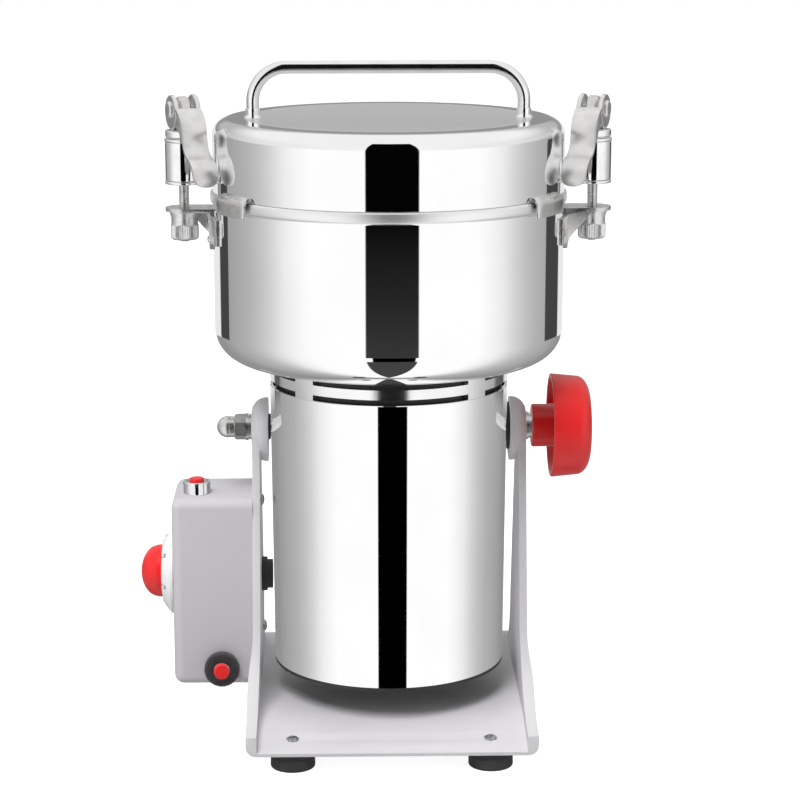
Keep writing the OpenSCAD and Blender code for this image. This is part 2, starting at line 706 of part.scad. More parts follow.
module bearings() color([0.70, 0.70, 0.72]) at_axis() for (z = [low_bearing_z, top_bearing_z])
  tube(z + seat, bearing_h - seat, bearing_r, shaft_r + run_gap);

module stator() color([0.42, 0.42, 0.44]) at_axis() difference() {
  translate([0, 0, stator_low]) cylinder(h = stator_h, r = stator_r);
  translate([0, 0, stator_low - cut]) cylinder(h = stator_h + 2 * cut, r = stator_in);
  for (side = [-1, 1]) translate([side * (stator_r + rotor_r) - rotor_r, -stator_r, stator_low - cut])
    cube([2 * rotor_r, 2 * stator_r, stator_h + 2 * cut]);
}

module field_coils() color([0.72, 0.40, 0.20]) at_axis()
  for (z = [stator_low - coil_h - seat, stator_low + stator_h + seat])
    tube(z, coil_h, stator_in + rotor_r * 0.8, stator_in + air_gap);

module brushes() color([0.72, 0.58, 0.30]) at_axis() for (side = [-1, 1])
  translate([side * (commutator_r + air_gap / 2 + commutator_r / 2), 0, commutator_z + commutator_h / 2])
    cube([commutator_r, commutator_h / 2, commutator_h / 2], center = true);

module pivot_studs() color([0.72, 0.72, 0.74]) at_axis() translate([0, 0, pivot_z]) {
  for (s = [[-1, stud_end_left], [1, stud_end_right]]) rotate([0, 0, s[0] < 0 ? 180 : 0]) {
    rod_x(stud_head_x, s[1] - stud_head_x, stud_r);
    rod_x(stud_head_x - stud_r, stud_r * 1.6, stud_head_r);
  }
}

module pivot_spacers() color([0.20, 0.20, 0.21]) at_axis() difference() {
  translate([0, 0, pivot_z]) {
    rod_x(-boss_in + face_gap, boss_in - motor_low_r, spacer_r_left);
    rod_x(motor_low_r - face_gap, boss_in - motor_low_r, spacer_r_right);
  }
  translate([0, 0, pivot_z - cut]) cylinder(h = 2 * cut, r = motor_r, $fn = 360);
  translate([0, 0, pivot_z]) rod_x(-boss_out, 2 * boss_out, stud_r + seat);
}

module pivot_washers() color([0.66, 0.66, 0.68]) at_axis() translate([0, 0, pivot_z]) difference() {
  for (x = [washer_x, -washer_x - pivot_washer_t]) {
    rod_x(x, pivot_washer_t * 0.45, pivot_washer_r);
    rod_x(x + pivot_washer_t * 0.45, pivot_washer_t * 0.1, pivot_washer_r * 0.85);
    rod_x(x + pivot_washer_t * 0.55, pivot_washer_t * 0.45 - seat, pivot_washer_r * 0.93);
  }
  rod_x(-washer_x - cut, 2 * (washer_x + cut), stud_r + seat);
}

module acorn_nut() color([0.70, 0.70, 0.72]) at_axis()
  translate([-stack_x - seat, 0, pivot_z]) rotate([0, -90, 0]) difference() {
    union() {
      intersection() {
        cylinder(h = acorn_hex_h, r = acorn_af / 2 / cos(30), $fn = 6);
        translate([0, 0, acorn_hex_h - acorn_af * 0.92]) sphere(r = acorn_af);
      }
      cylinder(h = acorn_hex_h + acorn_af * 0.15, r = acorn_af * 0.46);
      translate([0, 0, acorn_hex_h + acorn_af * 0.25]) sphere(r = acorn_af * 0.47);
    }
    translate([0, 0, -cut]) cylinder(h = cut + stud_end_left - stack_x + seat * 2, r = stud_r + seat);
  }

// the bowl and the brackets that hold the clamps
module bowl_half(r, low, high, edge) difference() {
  translate([0, low]) {
    square([r - edge, high - low]);
    translate([0, edge]) square([r, high - low - edge]);
    translate([r - edge, edge]) circle(r = edge);
  }
  translate([-cut * 4, low - cut]) square([cut * 4, high - low + 2 * cut]);
}

module bowl() color([0.86, 0.86, 0.87]) at_axis() rotate_extrude($fn = 144) difference() {
  union() {
    bowl_half(bowl_r, bowl_z, rim_top, bowl_edge);
    translate([0, rim_z]) square([rim_r - rim_edge, rim_h]);
    translate([0, rim_z + rim_edge]) square([rim_r, rim_h - 2 * rim_edge]);
    for (z = [rim_z + rim_edge, rim_top - rim_edge]) translate([rim_r - rim_edge, z]) circle(r = rim_edge);
  }
  bowl_half(wall_in_r, bowl_z + sheet_t, rim_top + cut, bowl_edge - sheet_t);
  square([bearing_r, rim_top]);
}

module shaft_seal() color([0.55, 0.55, 0.57]) at_axis() {
  tube(bowl_z - sheet_t * 3, sheet_t * 5, bearing_r - seat * 5, shaft_r * 1.1);
  tube(bowl_z + sheet_t + seat, sheet_t, bearing_r * 1.4, shaft_r * 1.1);
}

module bracket() difference() {
  union() {
    translate([bowl_r - washer_h, -tongue_r, tongue_z - tongue_r * 2.2])
      cube([washer_h * 2, 2 * tongue_r, tongue_r * 2.2]);
    translate([bowl_r - washer_h, -tongue_r, tongue_z - tongue_t])
      cube([clamp_x - bowl_r + washer_h, 2 * tongue_r, tongue_t]);
    translate([clamp_x, 0, tongue_z - tongue_t]) cylinder(h = tongue_t, r = tongue_r);
    along_y(-tongue_r, tongue_t * 0.7) polygon([
      [bowl_r, tongue_z - tongue_t / 2], [clamp_x, tongue_z - tongue_t / 2],
      [bowl_r + tongue_t / 2, tongue_z - tongue_r * 1.75]]);
    intersection() {
      tube(tongue_z - tongue_r * 1.7, tongue_r * 1.35, bowl_r + washer_h * 0.9, bowl_r - washer_h,
        $fn = 144);
      translate([0, -tongue_r * 2.8, 0]) cube([bowl_r * 2, tongue_r * 5.6, tongue_z]);
    }
  }
  translate([0, 0, tongue_z - cut]) cylinder(h = 2 * cut, r = bowl_r + seat, $fn = 360);
  translate([clamp_x, 0, tongue_z - cut]) cylinder(h = 2 * cut, r = rod_r * 1.13);
  for (side = [-1, 1]) translate([bowl_r - cut, side * tongue_r * 1.1, tongue_z - tongue_r * 2.3])
    rotate([45 * side, 0, 0]) translate([0, -tongue_r / 2, -tongue_r])
      cube([2 * cut, tongue_r, tongue_r * 1.5]);
  rivet_holes();
}

module rivet_holes() for (z = rivet_zs) translate([0, 0, z])
  rod_x(bowl_r - cut, 2 * cut, rivet_r * 0.6 + seat);

module clamp_brackets() color([0.74, 0.73, 0.71]) at_axis() {
  bracket();
  rotate([0, 0, 180]) bracket();
}

module bracket_rivets() color([0.70, 0.69, 0.67]) at_axis() for (a = [0, 180]) rotate([0, 0, a])
  for (z = rivet_zs) translate([bowl_r + washer_h + seat, 0, z]) rotate([0, 90, 0]) {
    round_drum(rivet_r, rivet_r * 0.7, rivet_r * 0.68);
    translate([0, 0, -washer_h + seat * 2]) cylinder(h = washer_h, r = rivet_r * 0.6);
  }

// the rotor with its fan and blades
module shaft() color([0.68, 0.68, 0.70]) at_axis() translate([0, 0, shaft_low])
  cylinder(h = shaft_top - shaft_low, r = shaft_r);

module rotor_core() color([0.45, 0.45, 0.47]) at_axis() difference() {
  tube(stator_low + sheet_t, stator_h - 2 * sheet_t, rotor_r, shaft_r + seat);
  slot_count = 12;
  for (i = [0 : slot_count - 1]) rotate([0, 0, 360 * i / slot_count])
    translate([rotor_r * 0.72, -rotor_r * 0.05, stator_low - cut])
      cube([rotor_r, rotor_r * 0.1, stator_h + 2 * cut]);
}

module commutator() color([0.74, 0.45, 0.25]) at_axis()
  tube(commutator_z, commutator_h, commutator_r, shaft_r + seat);

module fan() color([0.30, 0.30, 0.32]) at_axis() {
  tube(fan_z, fan_h, shaft_r * 1.8, shaft_r + seat);
  tube(fan_z, sheet_t, rotor_r * 2, shaft_r + seat);
  for (i = [0 : fan_blade_count - 1]) rotate([0, 0, 360 * i / fan_blade_count])
    translate([shaft_r * 1.5, -sheet_t / 2, fan_z])
      cube([rotor_r * 2 - shaft_r * 1.6, sheet_t, fan_h]);
}

// flat blade with two swept ends, ground on one side of each
module blade(z, length, width) translate([0, 0, z]) difference() {
  linear_extrude(blade_t) difference() {
    union() {
      circle(r = width * 0.72);
      for (a = [0, 180]) rotate([0, 0, a]) polygon([
        [0, -width / 2], [length * 0.75, -width / 2], [length, width * 0.1],
        [length, width / 4], [length * 0.7, width / 2], [0, width / 2]]);
    }
    circle(r = shaft_r + seat);
  }
  for (a = [0, 180]) rotate([0, 0, a])
    translate([width, -width * 0.5, blade_t]) rotate([-35, 0, 0]) translate([0, -width, 0])
      cube([length, width, width]);
}

module lower_blade() color([0.76, 0.76, 0.78]) at_axis()
  blade(blade_low_z, bowl_r * 0.8, bowl_r / 5);

module upper_blade() color([0.76, 0.76, 0.78]) at_axis() rotate([0, 0, 90])
  blade(blade_high_z, bowl_r * 0.7, bowl_r / 5);

module blade_nut() color([0.70, 0.70, 0.72]) at_axis() {
  difference() {
    translate([0, 0, blade_high_z + blade_t + seat])
      cylinder(h = blade_nut_h, r = shaft_r * 1.9, $fn = 6);
    translate([0, 0, blade_high_z]) cylinder(h = cut, r = shaft_r + seat);
  }
  tube(blade_low_z + blade_t + seat, blade_high_z - blade_low_z - blade_t - 2 * seat,
    shaft_r * 1.6, shaft_r + seat);
}

// the lid, its seal, lugs and handle
module lid_half(r, low, edge, top) translate([0, low]) intersection() {
  drum_half(r, top - low, edge);
  square([r, top - low]);
}

module lid() color([0.84, 0.84, 0.85]) at_axis() rotate_extrude($fn = 144) difference() {
  lid_half(bowl_r, rim_top + face_gap, lid_edge, lid_top);
  lid_half(wall_in_r, 0, lid_edge - sheet_t, lid_top - sheet_t);
}

module lid_seal() color([0.82, 0.82, 0.80]) at_axis() difference() {
  low = rim_top - rim_h * 0.8;
  tube(low, rim_h * 2.2, wall_in_r - seat * 5, wall_in_r - sheet_t * 2);
  tube(low - cut, cut + rim_top - low + face_gap, wall_in_r + cut, wall_in_r - sheet_t / 4);
}

module lug() rotate([0, 0, -lug_to]) rotate_extrude(angle = lug_to - lug_from, $fn = 144) {
  difference() {
    translate([lug_x, lug_z]) circle(r = lug_r);
    translate([lug_x, lug_z]) circle(r = lug_r - lug_t);
    translate([lug_x - cut, lug_z - cut]) square([2 * cut, cut]);
    translate([lug_x - cut, lug_z - cut]) square([cut, 2 * cut]);
  }
  translate([lug_x + lug_r - lug_t, tongue_z + lug_t]) square([lug_t, lug_z - tongue_z - lug_t]);
}

module lid_lugs() color([0.78, 0.77, 0.76]) at_axis() mirrored_x() lug();

module handle() color([0.84, 0.84, 0.85]) at_axis() {
  bend_x = handle_x - handle_bend;
  bend_z = handle_z - handle_bend;
  for (side = [-1, 1]) {
    translate([side * handle_x, 0, lid_top + seat]) cylinder(h = bend_z - lid_top - seat, r = handle_r);
    translate([side * bend_x, 0, bend_z]) rotate([90, 0, 0]) rotate([0, 0, side > 0 ? 0 : 90])
      rotate_extrude(angle = 90) translate([handle_bend, 0]) circle(r = handle_r);
  }
  translate([0, 0, handle_z]) rod_x(-bend_x, 2 * bend_x, handle_r);
}

// the clamps, each drawn round its own rod with the lever along +X
module eye_bolt(side) color([0.70, 0.70, 0.71]) at_axis() at_clamp(side) difference() {
  union() {
    translate([0, 0, rod_low]) cylinder(h = pin_z - rod_low - eye_r / 2, r = rod_r);
    translate([0, -eye_t / 2, pin_z]) rotate([-90, 0, 0]) cylinder(h = eye_t, r = eye_r);
    translate([-rod_r, -eye_t / 2, spacer_z + spacer_h + face_gap])
      cube([2 * rod_r, eye_t, pin_z - spacer_z - spacer_h - face_gap]);
  }
  translate([0, -cut, pin_z]) rotate([-90, 0, 0]) cylinder(h = 2 * cut, r = pin_r + run_gap);
}

module sleeve(side) color([0.80, 0.80, 0.81]) at_axis() at_clamp(side)
  tube(sleeve_low, sleeve_h, sleeve_r, sleeve_r - sheet_t);

module clamp_washers(side) color([0.74, 0.73, 0.70]) at_axis() at_clamp(side) {
  bore = rod_r + seat * 5;
  tube(sleeve_z, washer_h, washer_r, bore);
  tube(top_washer_z, top_washer_h, washer_r, bore);
  tube(spacer_z, spacer_h, washer_r * 0.97, bore);
}

module disc_springs(side) color([0.40, 0.40, 0.42]) at_axis() at_clamp(side) {
  pairs = 4;
  pitch = sleeve_h / (2 * pairs);
  out_r = sleeve_r - sheet_t * 1.4;
  for (i = [0 : 2 * pairs - 1]) {
    up = i % 2 == 0;
    low = sleeve_low + i * pitch + seat;
    difference() {
      translate([0, 0, low])
        cylinder(h = pitch - seat, r1 = up ? out_r : rod_r * 2, r2 = up ? rod_r * 2 : out_r);
      translate([0, 0, low - cut]) cylinder(h = 2 * cut, r = rod_r * 1.25);
    }
  }
}

// running position and direction along the strap after arc i, as [u, z, angle]
function arc_end(i) = i < 0 ? [strap_u, pin_z + strap_rise, arcs[0][1]] :
  let (p = arc_end(i - 1), a = arcs[i], bend = a[2] > a[1] ? 1 : -1)
  [p[0] + bend * a[0] * (sin(a[2]) - sin(a[1])), p[1] - bend * a[0] * (cos(a[1]) - cos(a[2])), a[2]];

// point on arc i, at share s of it, moved sideways by off
function arc_point(i, s, off) =
  let (p = arc_end(i - 1), a = arcs[i], bend = a[2] > a[1] ? 1 : -1, t = a[1] + (a[2] - a[1]) * s)
  [p[0] + bend * a[0] * (sin(t) - sin(a[1])) + off * sin(t),
    p[1] - bend * a[0] * (cos(a[1]) - cos(t)) + off * cos(t)];

function strap_edge(off) = [for (i = [0 : len(arcs) - 1], k = [0 : arc_steps])
  if (i == 0 || k > 0) arc_point(i, k / arc_steps, off)];

function reversed(list) = [for (i = [len(list) - 1 : -1 : 0]) list[i]];

module lever(side) color([0.78, 0.77, 0.76]) at_axis() at_clamp(side) {
  lip = arc_end(len(arcs) - 1);
  half = lever_w / 2;
  intersection() {
    along_y(-half, lever_w) polygon(concat(strap_edge(lever_t / 2), reversed(strap_edge(-lever_t / 2))));
    along_x(0, cut * 2) round_rect(-half, lip[1] - lever_t / 9, half, pin_z + cut, half * 0.75);
  }
  for (y = [-half, half - ear_t]) difference() {
    along_y(y, ear_t) {
      translate([cam_u, pin_z - cam_drop]) circle(r = ear_r);
      polygon([
        [cam_u, pin_z - cam_drop + ear_r], arc_point(0, 0, lever_t / 2), arc_point(0, 0.45, lever_t / 2),
        arc_point(0, 0.95, -lever_t / 2), [cam_u + ear_r * 0.6, pin_z - cam_drop - ear_r * 0.8],
        [cam_u, pin_z - cam_drop]]);
    }
    translate([0, -cut, pin_z]) rotate([-90, 0, 0]) cylinder(h = 2 * cut, r = pin_r + pin_gap);
  }
}

module lever_pin(side) color([0.72, 0.71, 0.69]) at_axis() at_clamp(side)
  translate([0, -lever_w / 2 - seat, pin_z]) rotate([90, 0, 0]) {
    round_drum(pin_head_r, pin_head_t, pin_head_t * 0.9);
    translate([0, 0, -lever_w - 2 * seat]) cylinder(h = lever_w + 2 * seat, r = pin_r);
    translate([0, 0, -lever_w - 2 * seat]) mirror([0, 0, 1])
      round_drum(pin_head_r * 0.8, pin_head_t, pin_head_t * 0.9);
  }

module clamp_nut(side) color([0.80, 0.80, 0.81]) at_axis() at_clamp(side)
  translate([0, 0, nut_top]) mirror([0, 0, 1]) difference() {
    union() {
      cylinder(h = washer_h * 0.6, r = nut_r * 1.07);
      round_drum(nut_r, nut_h, nut_r / 10);
    }
    translate([0, 0, -cut]) cylinder(h = 2 * cut + nut_h, r = rod_r + run_gap);
    for (i = [0 : knurl_count - 1]) rotate([0, 0, 360 * i / knurl_count])
      translate([nut_r * 1.02, 0, nut_h * 0.45]) cylinder(h = cut, r = nut_r / 18, $fn = 6);
  }

module left_eye_bolt() eye_bolt(-1);
module left_sleeve() sleeve(-1);
module left_washers() clamp_washers(-1);
module left_springs() disc_springs(-1);
module left_lever() lever(-1);
module left_pin() lever_pin(-1);
module left_nut() clamp_nut(-1);
module right_eye_bolt() eye_bolt(1);
module right_sleeve() sleeve(1);
module right_washers() clamp_washers(1);
module right_springs() disc_springs(1);
module right_lever() lever(1);
module right_pin() lever_pin(1);
module right_nut() clamp_nut(1);

// the hand knob, a cup that opens towards the stand
module hand_knob() color([0.88, 0.12, 0.15]) at_axis()
  translate([stack_x + face_gap, 0, pivot_z]) rotate([0, 90, 0]) difference() {
    union() {
      translate([0, 0, hub_len]) difference() {
        round_drum(knob_r, knob_d, knob_edge);
        translate([0, 0, -seat])
          round_drum(knob_r - knob_wall, knob_d - knob_wall, knob_edge - knob_wall);
      }
      cylinder(h = hub_len + knob_d / 2, r = hub_r);
      translate([0, 0, hub_len]) cylinder(h = knob_d - knob_wall / 2, r = hub_r);
    }
    translate([0, 0, -cut]) cylinder(h = cut + stud_end_right - stack_x + stud_r, r = stud_r * 1.6);
  }

module knob_insert() color([0.75, 0.62, 0.32]) at_axis()
  translate([stack_x + face_gap, 0, pivot_z]) rotate([0, 90, 0])
    tube(seat, stud_end_right - stack_x + stud_r - 2 * seat, stud_r * 1.6 - seat, bore_r);

stand();
feet();
foot_screws();
control_box();
box_screws();
cable_grommet();
cord_gland();
dial_plate();
timer_body();
start_ring();
start_switch();
reset_ring();
breaker_body();
motor_tube();
motor_cap();
cap_screws();
vent_ring();
bearing_plate();
bearings();
stator();
field_coils();
brushes();
pivot_studs();
pivot_spacers();
pivot_washers();
acorn_nut();
bowl();
shaft_seal();
clamp_brackets();
bracket_rivets();
shaft();
rotor_core();
commutator();
fan();
lower_blade();
upper_blade();
blade_nut();
lid();
lid_seal();
lid_lugs();
handle();
left_eye_bolt();
left_sleeve();
left_washers();
left_springs();
left_lever();
left_pin();
left_nut();
right_eye_bolt();
right_sleeve();
right_washers();
right_springs();
right_lever();
right_pin();
right_nut();
hand_knob();
knob_insert();
timer_knob();
start_button();
reset_button();
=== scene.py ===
import math

import bpy
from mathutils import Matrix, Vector


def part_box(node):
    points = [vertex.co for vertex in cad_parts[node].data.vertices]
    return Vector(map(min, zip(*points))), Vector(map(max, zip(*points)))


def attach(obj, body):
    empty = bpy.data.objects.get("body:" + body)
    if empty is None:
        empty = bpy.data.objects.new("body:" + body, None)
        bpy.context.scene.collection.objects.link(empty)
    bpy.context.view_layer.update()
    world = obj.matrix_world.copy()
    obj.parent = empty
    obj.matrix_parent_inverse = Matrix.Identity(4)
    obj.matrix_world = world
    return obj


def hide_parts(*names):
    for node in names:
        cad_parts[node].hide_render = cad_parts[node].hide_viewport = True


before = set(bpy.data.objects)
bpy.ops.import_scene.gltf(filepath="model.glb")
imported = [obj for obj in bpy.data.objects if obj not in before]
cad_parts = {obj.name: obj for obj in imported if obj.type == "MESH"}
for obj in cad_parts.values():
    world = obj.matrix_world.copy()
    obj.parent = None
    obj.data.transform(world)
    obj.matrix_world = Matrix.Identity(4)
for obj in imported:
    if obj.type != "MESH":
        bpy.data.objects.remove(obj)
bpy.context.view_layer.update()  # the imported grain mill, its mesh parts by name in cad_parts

mm = 0.001

# The studio: one long lens in front of the mill, a little above the bowl. The mirror-polished
# steel shows a white tent that greys towards its back, with a tall dark flag in front.


class Shade:
    """An output socket of a node tree. Arithmetic on it adds Math nodes."""

    def __init__(self, tree, socket=None):
        self.tree, self.socket = tree, socket

    def node(self, kind, ins=None, out=0, stops=None, **settings):
        """Adds a node: its settings first, then a ramp's stops, then its inputs' values or links."""
        made = self.tree.nodes.new("ShaderNode" + kind)
        for name, value in settings.items():
            setattr(made, name, value)
        if stops:
            points = made.color_ramp.elements
            while len(points) < len(stops):
                points.new(1)
            for point, (place, tone) in zip(points, stops):
                point.position = place
                point.color = tone if isinstance(tone, tuple) else (tone, tone, tone, 1)
        for key, value in (ins or {}).items():
            if isinstance(value, Shade):
                self.tree.links.new(value.socket, made.inputs[key])
            else:
                made.inputs[key].default_value = value
        return Shade(self.tree, made.outputs[out]) if made.outputs else None

    def math(self, operation, *values):
        return self.node("Math", dict(enumerate(values)), operation=operation)

    def __add__(self, other):
        return self.math("ADD", self, other)

    __radd__ = __add__

    def __sub__(self, other):
        return self.math("SUBTRACT", self, other)

    def __rsub__(self, other):
        return self.math("SUBTRACT", other, self)

    def __mul__(self, other):
        return self.math("MULTIPLY", self, other)

    __rmul__ = __mul__

    def __truediv__(self, other):
        return self.math("DIVIDE", self, other)

    def __abs__(self):
        return self.math("ABSOLUTE", self)

    def step(self, start, end, low=0.0, high=1.0):
        """Smooth change from low to high while this value goes from start to end."""
        return self.node("MapRange", {0: self, 1: start, 2: end, 3: low, 4: high},
                         interpolation_type="SMOOTHSTEP")

    def blend(self, first, second):
        """This value mixes two colours."""
        return self.node("Mix", {0: self, 6: first, 7: second}, out=2, data_type="RGBA")

    def parts(self):
        """The x, y and z of a vector."""
        split = self.node("SeparateXYZ", {0: self})
        return [Shade(self.tree, socket) for socket in split.socket.node.outputs]


def grey(tone):
    """A grey for a colour socket."""
    return (tone, tone, tone, 1)


# tones of the tent's wall and roof by degrees round from the front, and of the flag by degrees up
wall_tones = [(0, 1), (56, 1), (65, 0.93), (75, 0.83), (85, 0.66), (95, 0.54), (108, 0.44), (130, 0.36),
              (150, 0.28)]
roof_tones = [(0, 0.95), (90, 0.78), (150, 0.47)]
flag_tones = [(-12.8, 0.055), (-12, 0.045), (-10, 0.018), (-8, 0.001)]
zenith_tone, far_tone, side_flag_tone = 0.88, 0.8, 0.055
tent_level, diffuse_cut = 1.04, 0.62
half_turn, flag_span = 180, 20
world = bpy.data.worlds.new("studio_tent")
bpy.context.scene.world = world
world.use_nodes = True
world.node_tree.nodes.clear()
tent = Shade(world.node_tree)
across, along, up = tent.node("TexCoord", out="Generated").parts()
turn = tent.math("ARCTAN2", across, 0 - along) * math.degrees(1)
rise = tent.math("ARCSINE", up) * math.degrees(1)
wall = tent.node("ValToRGB", {0: abs(turn - 3) / half_turn},
                 stops=[(angle / half_turn, tone) for angle, tone in wall_tones])
roof = tent.node("ValToRGB", {0: abs(turn) / half_turn},
                 stops=[(angle / half_turn, tone) for angle, tone in roof_tones])
# low down behind the mill: a pale strip between two dark flags
low_band = rise.step(-13, -12) * rise.step(2, 5, 1, 0)
far_side = abs(turn).step(146, 148) * low_band
side_flags = (abs(turn + 138.3).step(7, 8.5, 1, 0) + abs(turn - 135).step(11, 12.5, 1, 0)) * low_band
# the tall flag in front, black and narrower where the motor mirrors it
wide_flag = abs(turn - 1.2).step(16.6, 17.6, 1, 0)
narrow_flag = abs(turn - 2.5).step(13.6, 14.6, 1, 0)
motor_band = rise.step(-24.5, -23.5) * rise.step(-12.2, -12, 1, 0)
flag = motor_band.blend(wide_flag, narrow_flag) * rise.step(57, 59, 1, 0)
bowl_flag = tent.node("ValToRGB", {0: (rise + flag_span) / flag_span},
                      stops=[((angle + flag_span) / flag_span, tone) for angle, tone in flag_tones])
flag_tone = motor_band.blend(bowl_flag, grey(0))
tone = rise.step(6, 14).blend(wall, roof)
tone = rise.step(20, 42).blend(tone, grey(zenith_tone))
tone = far_side.blend(tone, grey(far_tone))
tone = side_flags.blend(tone, grey(side_flag_tone))
tone = flag.blend(tone, flag_tone)
camera_ray = tent.node("LightPath", out="Is Camera Ray")
seen = camera_ray.math("MAXIMUM", camera_ray, tent.node("LightPath", out="Is Transmission Ray"))
diffuse = tent.node("LightPath", out="Is Diffuse Ray")
shown = tent.node("Background", {0: tone, 1: tent_level - diffuse * diffuse_cut})
white = tent.node("Background", {0: grey(1), 1: 1.0})
tent.node("OutputWorld", {0: tent.node("MixShader", {0: seen, 1: shown, 2: white})})

camera_data = bpy.data.cameras.new("camera")
camera_data.lens = 109.6
camera_data.sensor_width = 36
camera_data.shift_x = 0.0146
camera_data.shift_y = 0.054
camera = bpy.data.objects.new("camera", camera_data)
camera.location = (-0.01756, -1.33473, 0.4793)
camera.rotation_euler = (math.radians(76.62), math.radians(0.04), math.radians(-1.1486))
bpy.context.scene.collection.objects.link(camera)
bpy.context.scene.camera = camera
bpy.context.scene.view_settings.view_transform = "Standard"

# one large lamp high in front and a weak one on each side, given as place and watts
lamps = {"high_lamp": ((-0.5, -1.1, 2.2), 48), "left_lamp": ((-2.1, -0.4, 0.9), 9),
         "right_lamp": ((2.0, -0.6, 0.8), 7)}
lamp_width, lamp_height = 0.9, 1.3
lamp_target = Vector((0, 0, 0.15))
for name, (spot, power) in lamps.items():
    lamp_data = bpy.data.lights.new(name, "AREA")
    lamp_data.shape = "RECTANGLE"
    lamp_data.size, lamp_data.size_y = lamp_width, lamp_height
    lamp_data.energy = power
    lamp = bpy.data.objects.new(name, lamp_data)
    lamp.location = spot
    lamp.rotation_euler = (lamp_target - lamp.location).to_track_quat("-Z", "Y").to_euler()
    lamp.visible_glossy = False
    bpy.context.scene.collection.objects.link(lamp)

# The floor is a wide pale sheet. The camera sees it white, like the tent, with the mill's own
# shadow kept; it lights the underside softly.


def deselect():
    """Nothing is selected or in edit mode afterwards."""
    if bpy.context.object and bpy.context.object.mode != "OBJECT":
        bpy.ops.object.mode_set(mode="OBJECT")
    bpy.ops.object.select_all(action="DESELECT")


def new_material(name, **fixed):
    """A material with one Principled shader. Returns it, its tree as a Shade, and the shader's inputs."""
    material = bpy.data.materials.new(name)
    material.use_nodes = True
    tree = material.node_tree
    tree.nodes.clear()
    start = Shade(tree)
    shader = start.node("BsdfPrincipled")
    start.node("OutputMaterial", {0: shader})
    inputs = shader.socket.node.inputs
    for name, value in fixed.items():
        inputs[name.replace("_", " ").title().replace("Ior", "IOR")].default_value = value
    return material, start, inputs


deselect()
bpy.ops.mesh.primitive_plane_add(size=14, location=(0, 0, 0))
floor = bpy.context.object
floor.name = "floor"
floor_material, start, shader = new_material("floor_paper", base_color=grey(0.6), roughness=0.9,
                                             specular_ior_level=0.0)
shader["Emission Color"].default_value = grey(1)
glow = start.node("LightPath", out="Is Camera Ray") * 0.9
start.tree.links.new(glow.socket, shader["Emission Strength"])
floor.data.materials.append(floor_material)
floor.visible_glossy = False

# The stand is one aluminium casting: a floor with two flared uprights, painted silver grey.
# The paint lies thick and softens every edge, and it has a fine orange peel.


def colour(red, green, blue):
    """A colour as a screen shows it, 0 to 255, for a shader."""
    return tuple((c / 255 / 12.92 if c <= 10 else ((c / 255 + 0.055) / 1.055) ** 2.4)
                 for c in (red, green, blue)) + (1,)


def feed(shader_inputs, **links):
    """Joins what changes over the surface to the shader's sockets."""
    for name, value in links.items():
        socket = shader_inputs[name.replace("_", " ").title()]
        value.tree.links.new(value.socket, socket)


def place_of(start, scale=(1, 1, 1), centre=(0, 0, 0)):
    """Object coordinates, moved so that centre is at zero and then scaled."""
    place = start.node("TexCoord", out="Object")
    moved = start.node("VectorMath", {0: place, 1: centre}, operation="SUBTRACT")
    return start.node("VectorMath", {0: moved, 1: scale}, operation="MULTIPLY")


def noise(start, vector, scale, detail):
    """Cloudy noise, 0 to 1."""
    return start.node("TexNoise", {"Vector": vector, "Scale": scale, "Detail": detail, "Roughness": 0.5})


def bump(start, height, strength, distance):
    """A normal that follows a height."""
    return start.node("Bump", {"Height": height, "Strength": strength, "Distance": distance})


def pick(piece):
    """Only this piece is selected and active afterwards."""
    deselect()
    bpy.context.view_layer.objects.active = piece
    piece.select_set(True)


def edit_all():
    """Opens the active piece's mesh with all of it selected."""
    bpy.ops.object.mode_set(mode="EDIT")
    bpy.ops.mesh.select_all(action="SELECT")


def copied(node):
    """A copy of a CAD node's mesh, merged and with its flat faces whole, ready for bevels."""
    piece = bpy.data.objects.new(node + "_copy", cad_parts[node].data.copy())
    bpy.context.scene.collection.objects.link(piece)
    pick(piece)
    edit_all()
    bpy.ops.mesh.remove_doubles(threshold=2e-6)
    bpy.ops.mesh.customdata_custom_splitnormals_clear()
    bpy.ops.mesh.dissolve_limited(angle_limit=math.radians(1))
    bpy.ops.object.mode_set(mode="OBJECT")
    return piece


def add_modifier(piece, kind, **settings):
    """Adds a modifier and applies it."""
    modifier = piece.modifiers.new(kind.lower(), kind)
    for name, value in settings.items():
        setattr(modifier, name, value)
    bpy.context.view_layer.objects.active = piece
    bpy.ops.object.modifier_apply(modifier=modifier.name)
    return piece


def eased(piece, width, segments=3, limit=30):
    """Rounds a piece's sharp edges."""
    return add_modifier(piece, "BEVEL", width=width, segments=segments, limit_method="ANGLE",
                        angle_limit=math.radians(limit), use_clamp_overlap=True)


def finished(piece, name, material, body, slot, *replaced, angle=30):
    """Names a new piece, smooths it, gives it its material and ties it to the frame."""
    piece.name = piece.data.name = name
    pick(piece)
    bpy.ops.object.transform_apply()
    bpy.ops.object.shade_smooth_by_angle(angle=math.radians(angle))
    piece.data.materials.clear()
    piece.data.materials.append(material)
    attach(piece, body)
    if replaced:
        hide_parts(*replaced)
    deselect()
    return piece


cast_paint, start, shader = new_material("cast_paint", coat_weight=0.15, coat_roughness=0.25)
where = place_of(start)
tint = noise(start, where, 14, 4)
peel = noise(start, where, 900, 2)
flow = noise(start, where, 220, 2)
feed(shader, base_color=tint.step(0.35, 0.65).blend(colour(209, 207, 210), colour(214, 212, 215)),
     roughness=0.4 + 0.08 * tint, normal=bump(start, peel + 2 * flow, 0.08, 0.0002))
stand = eased(copied("stand"), 0.7 * mm)
finished(stand, "stand_casting", cast_paint, "frame", "cast_paint", "stand")

# Four black rubber feet, moulded with a hollow for the screw and a soft lower rim. Each is held
# by a steel screw that comes down through the stand.


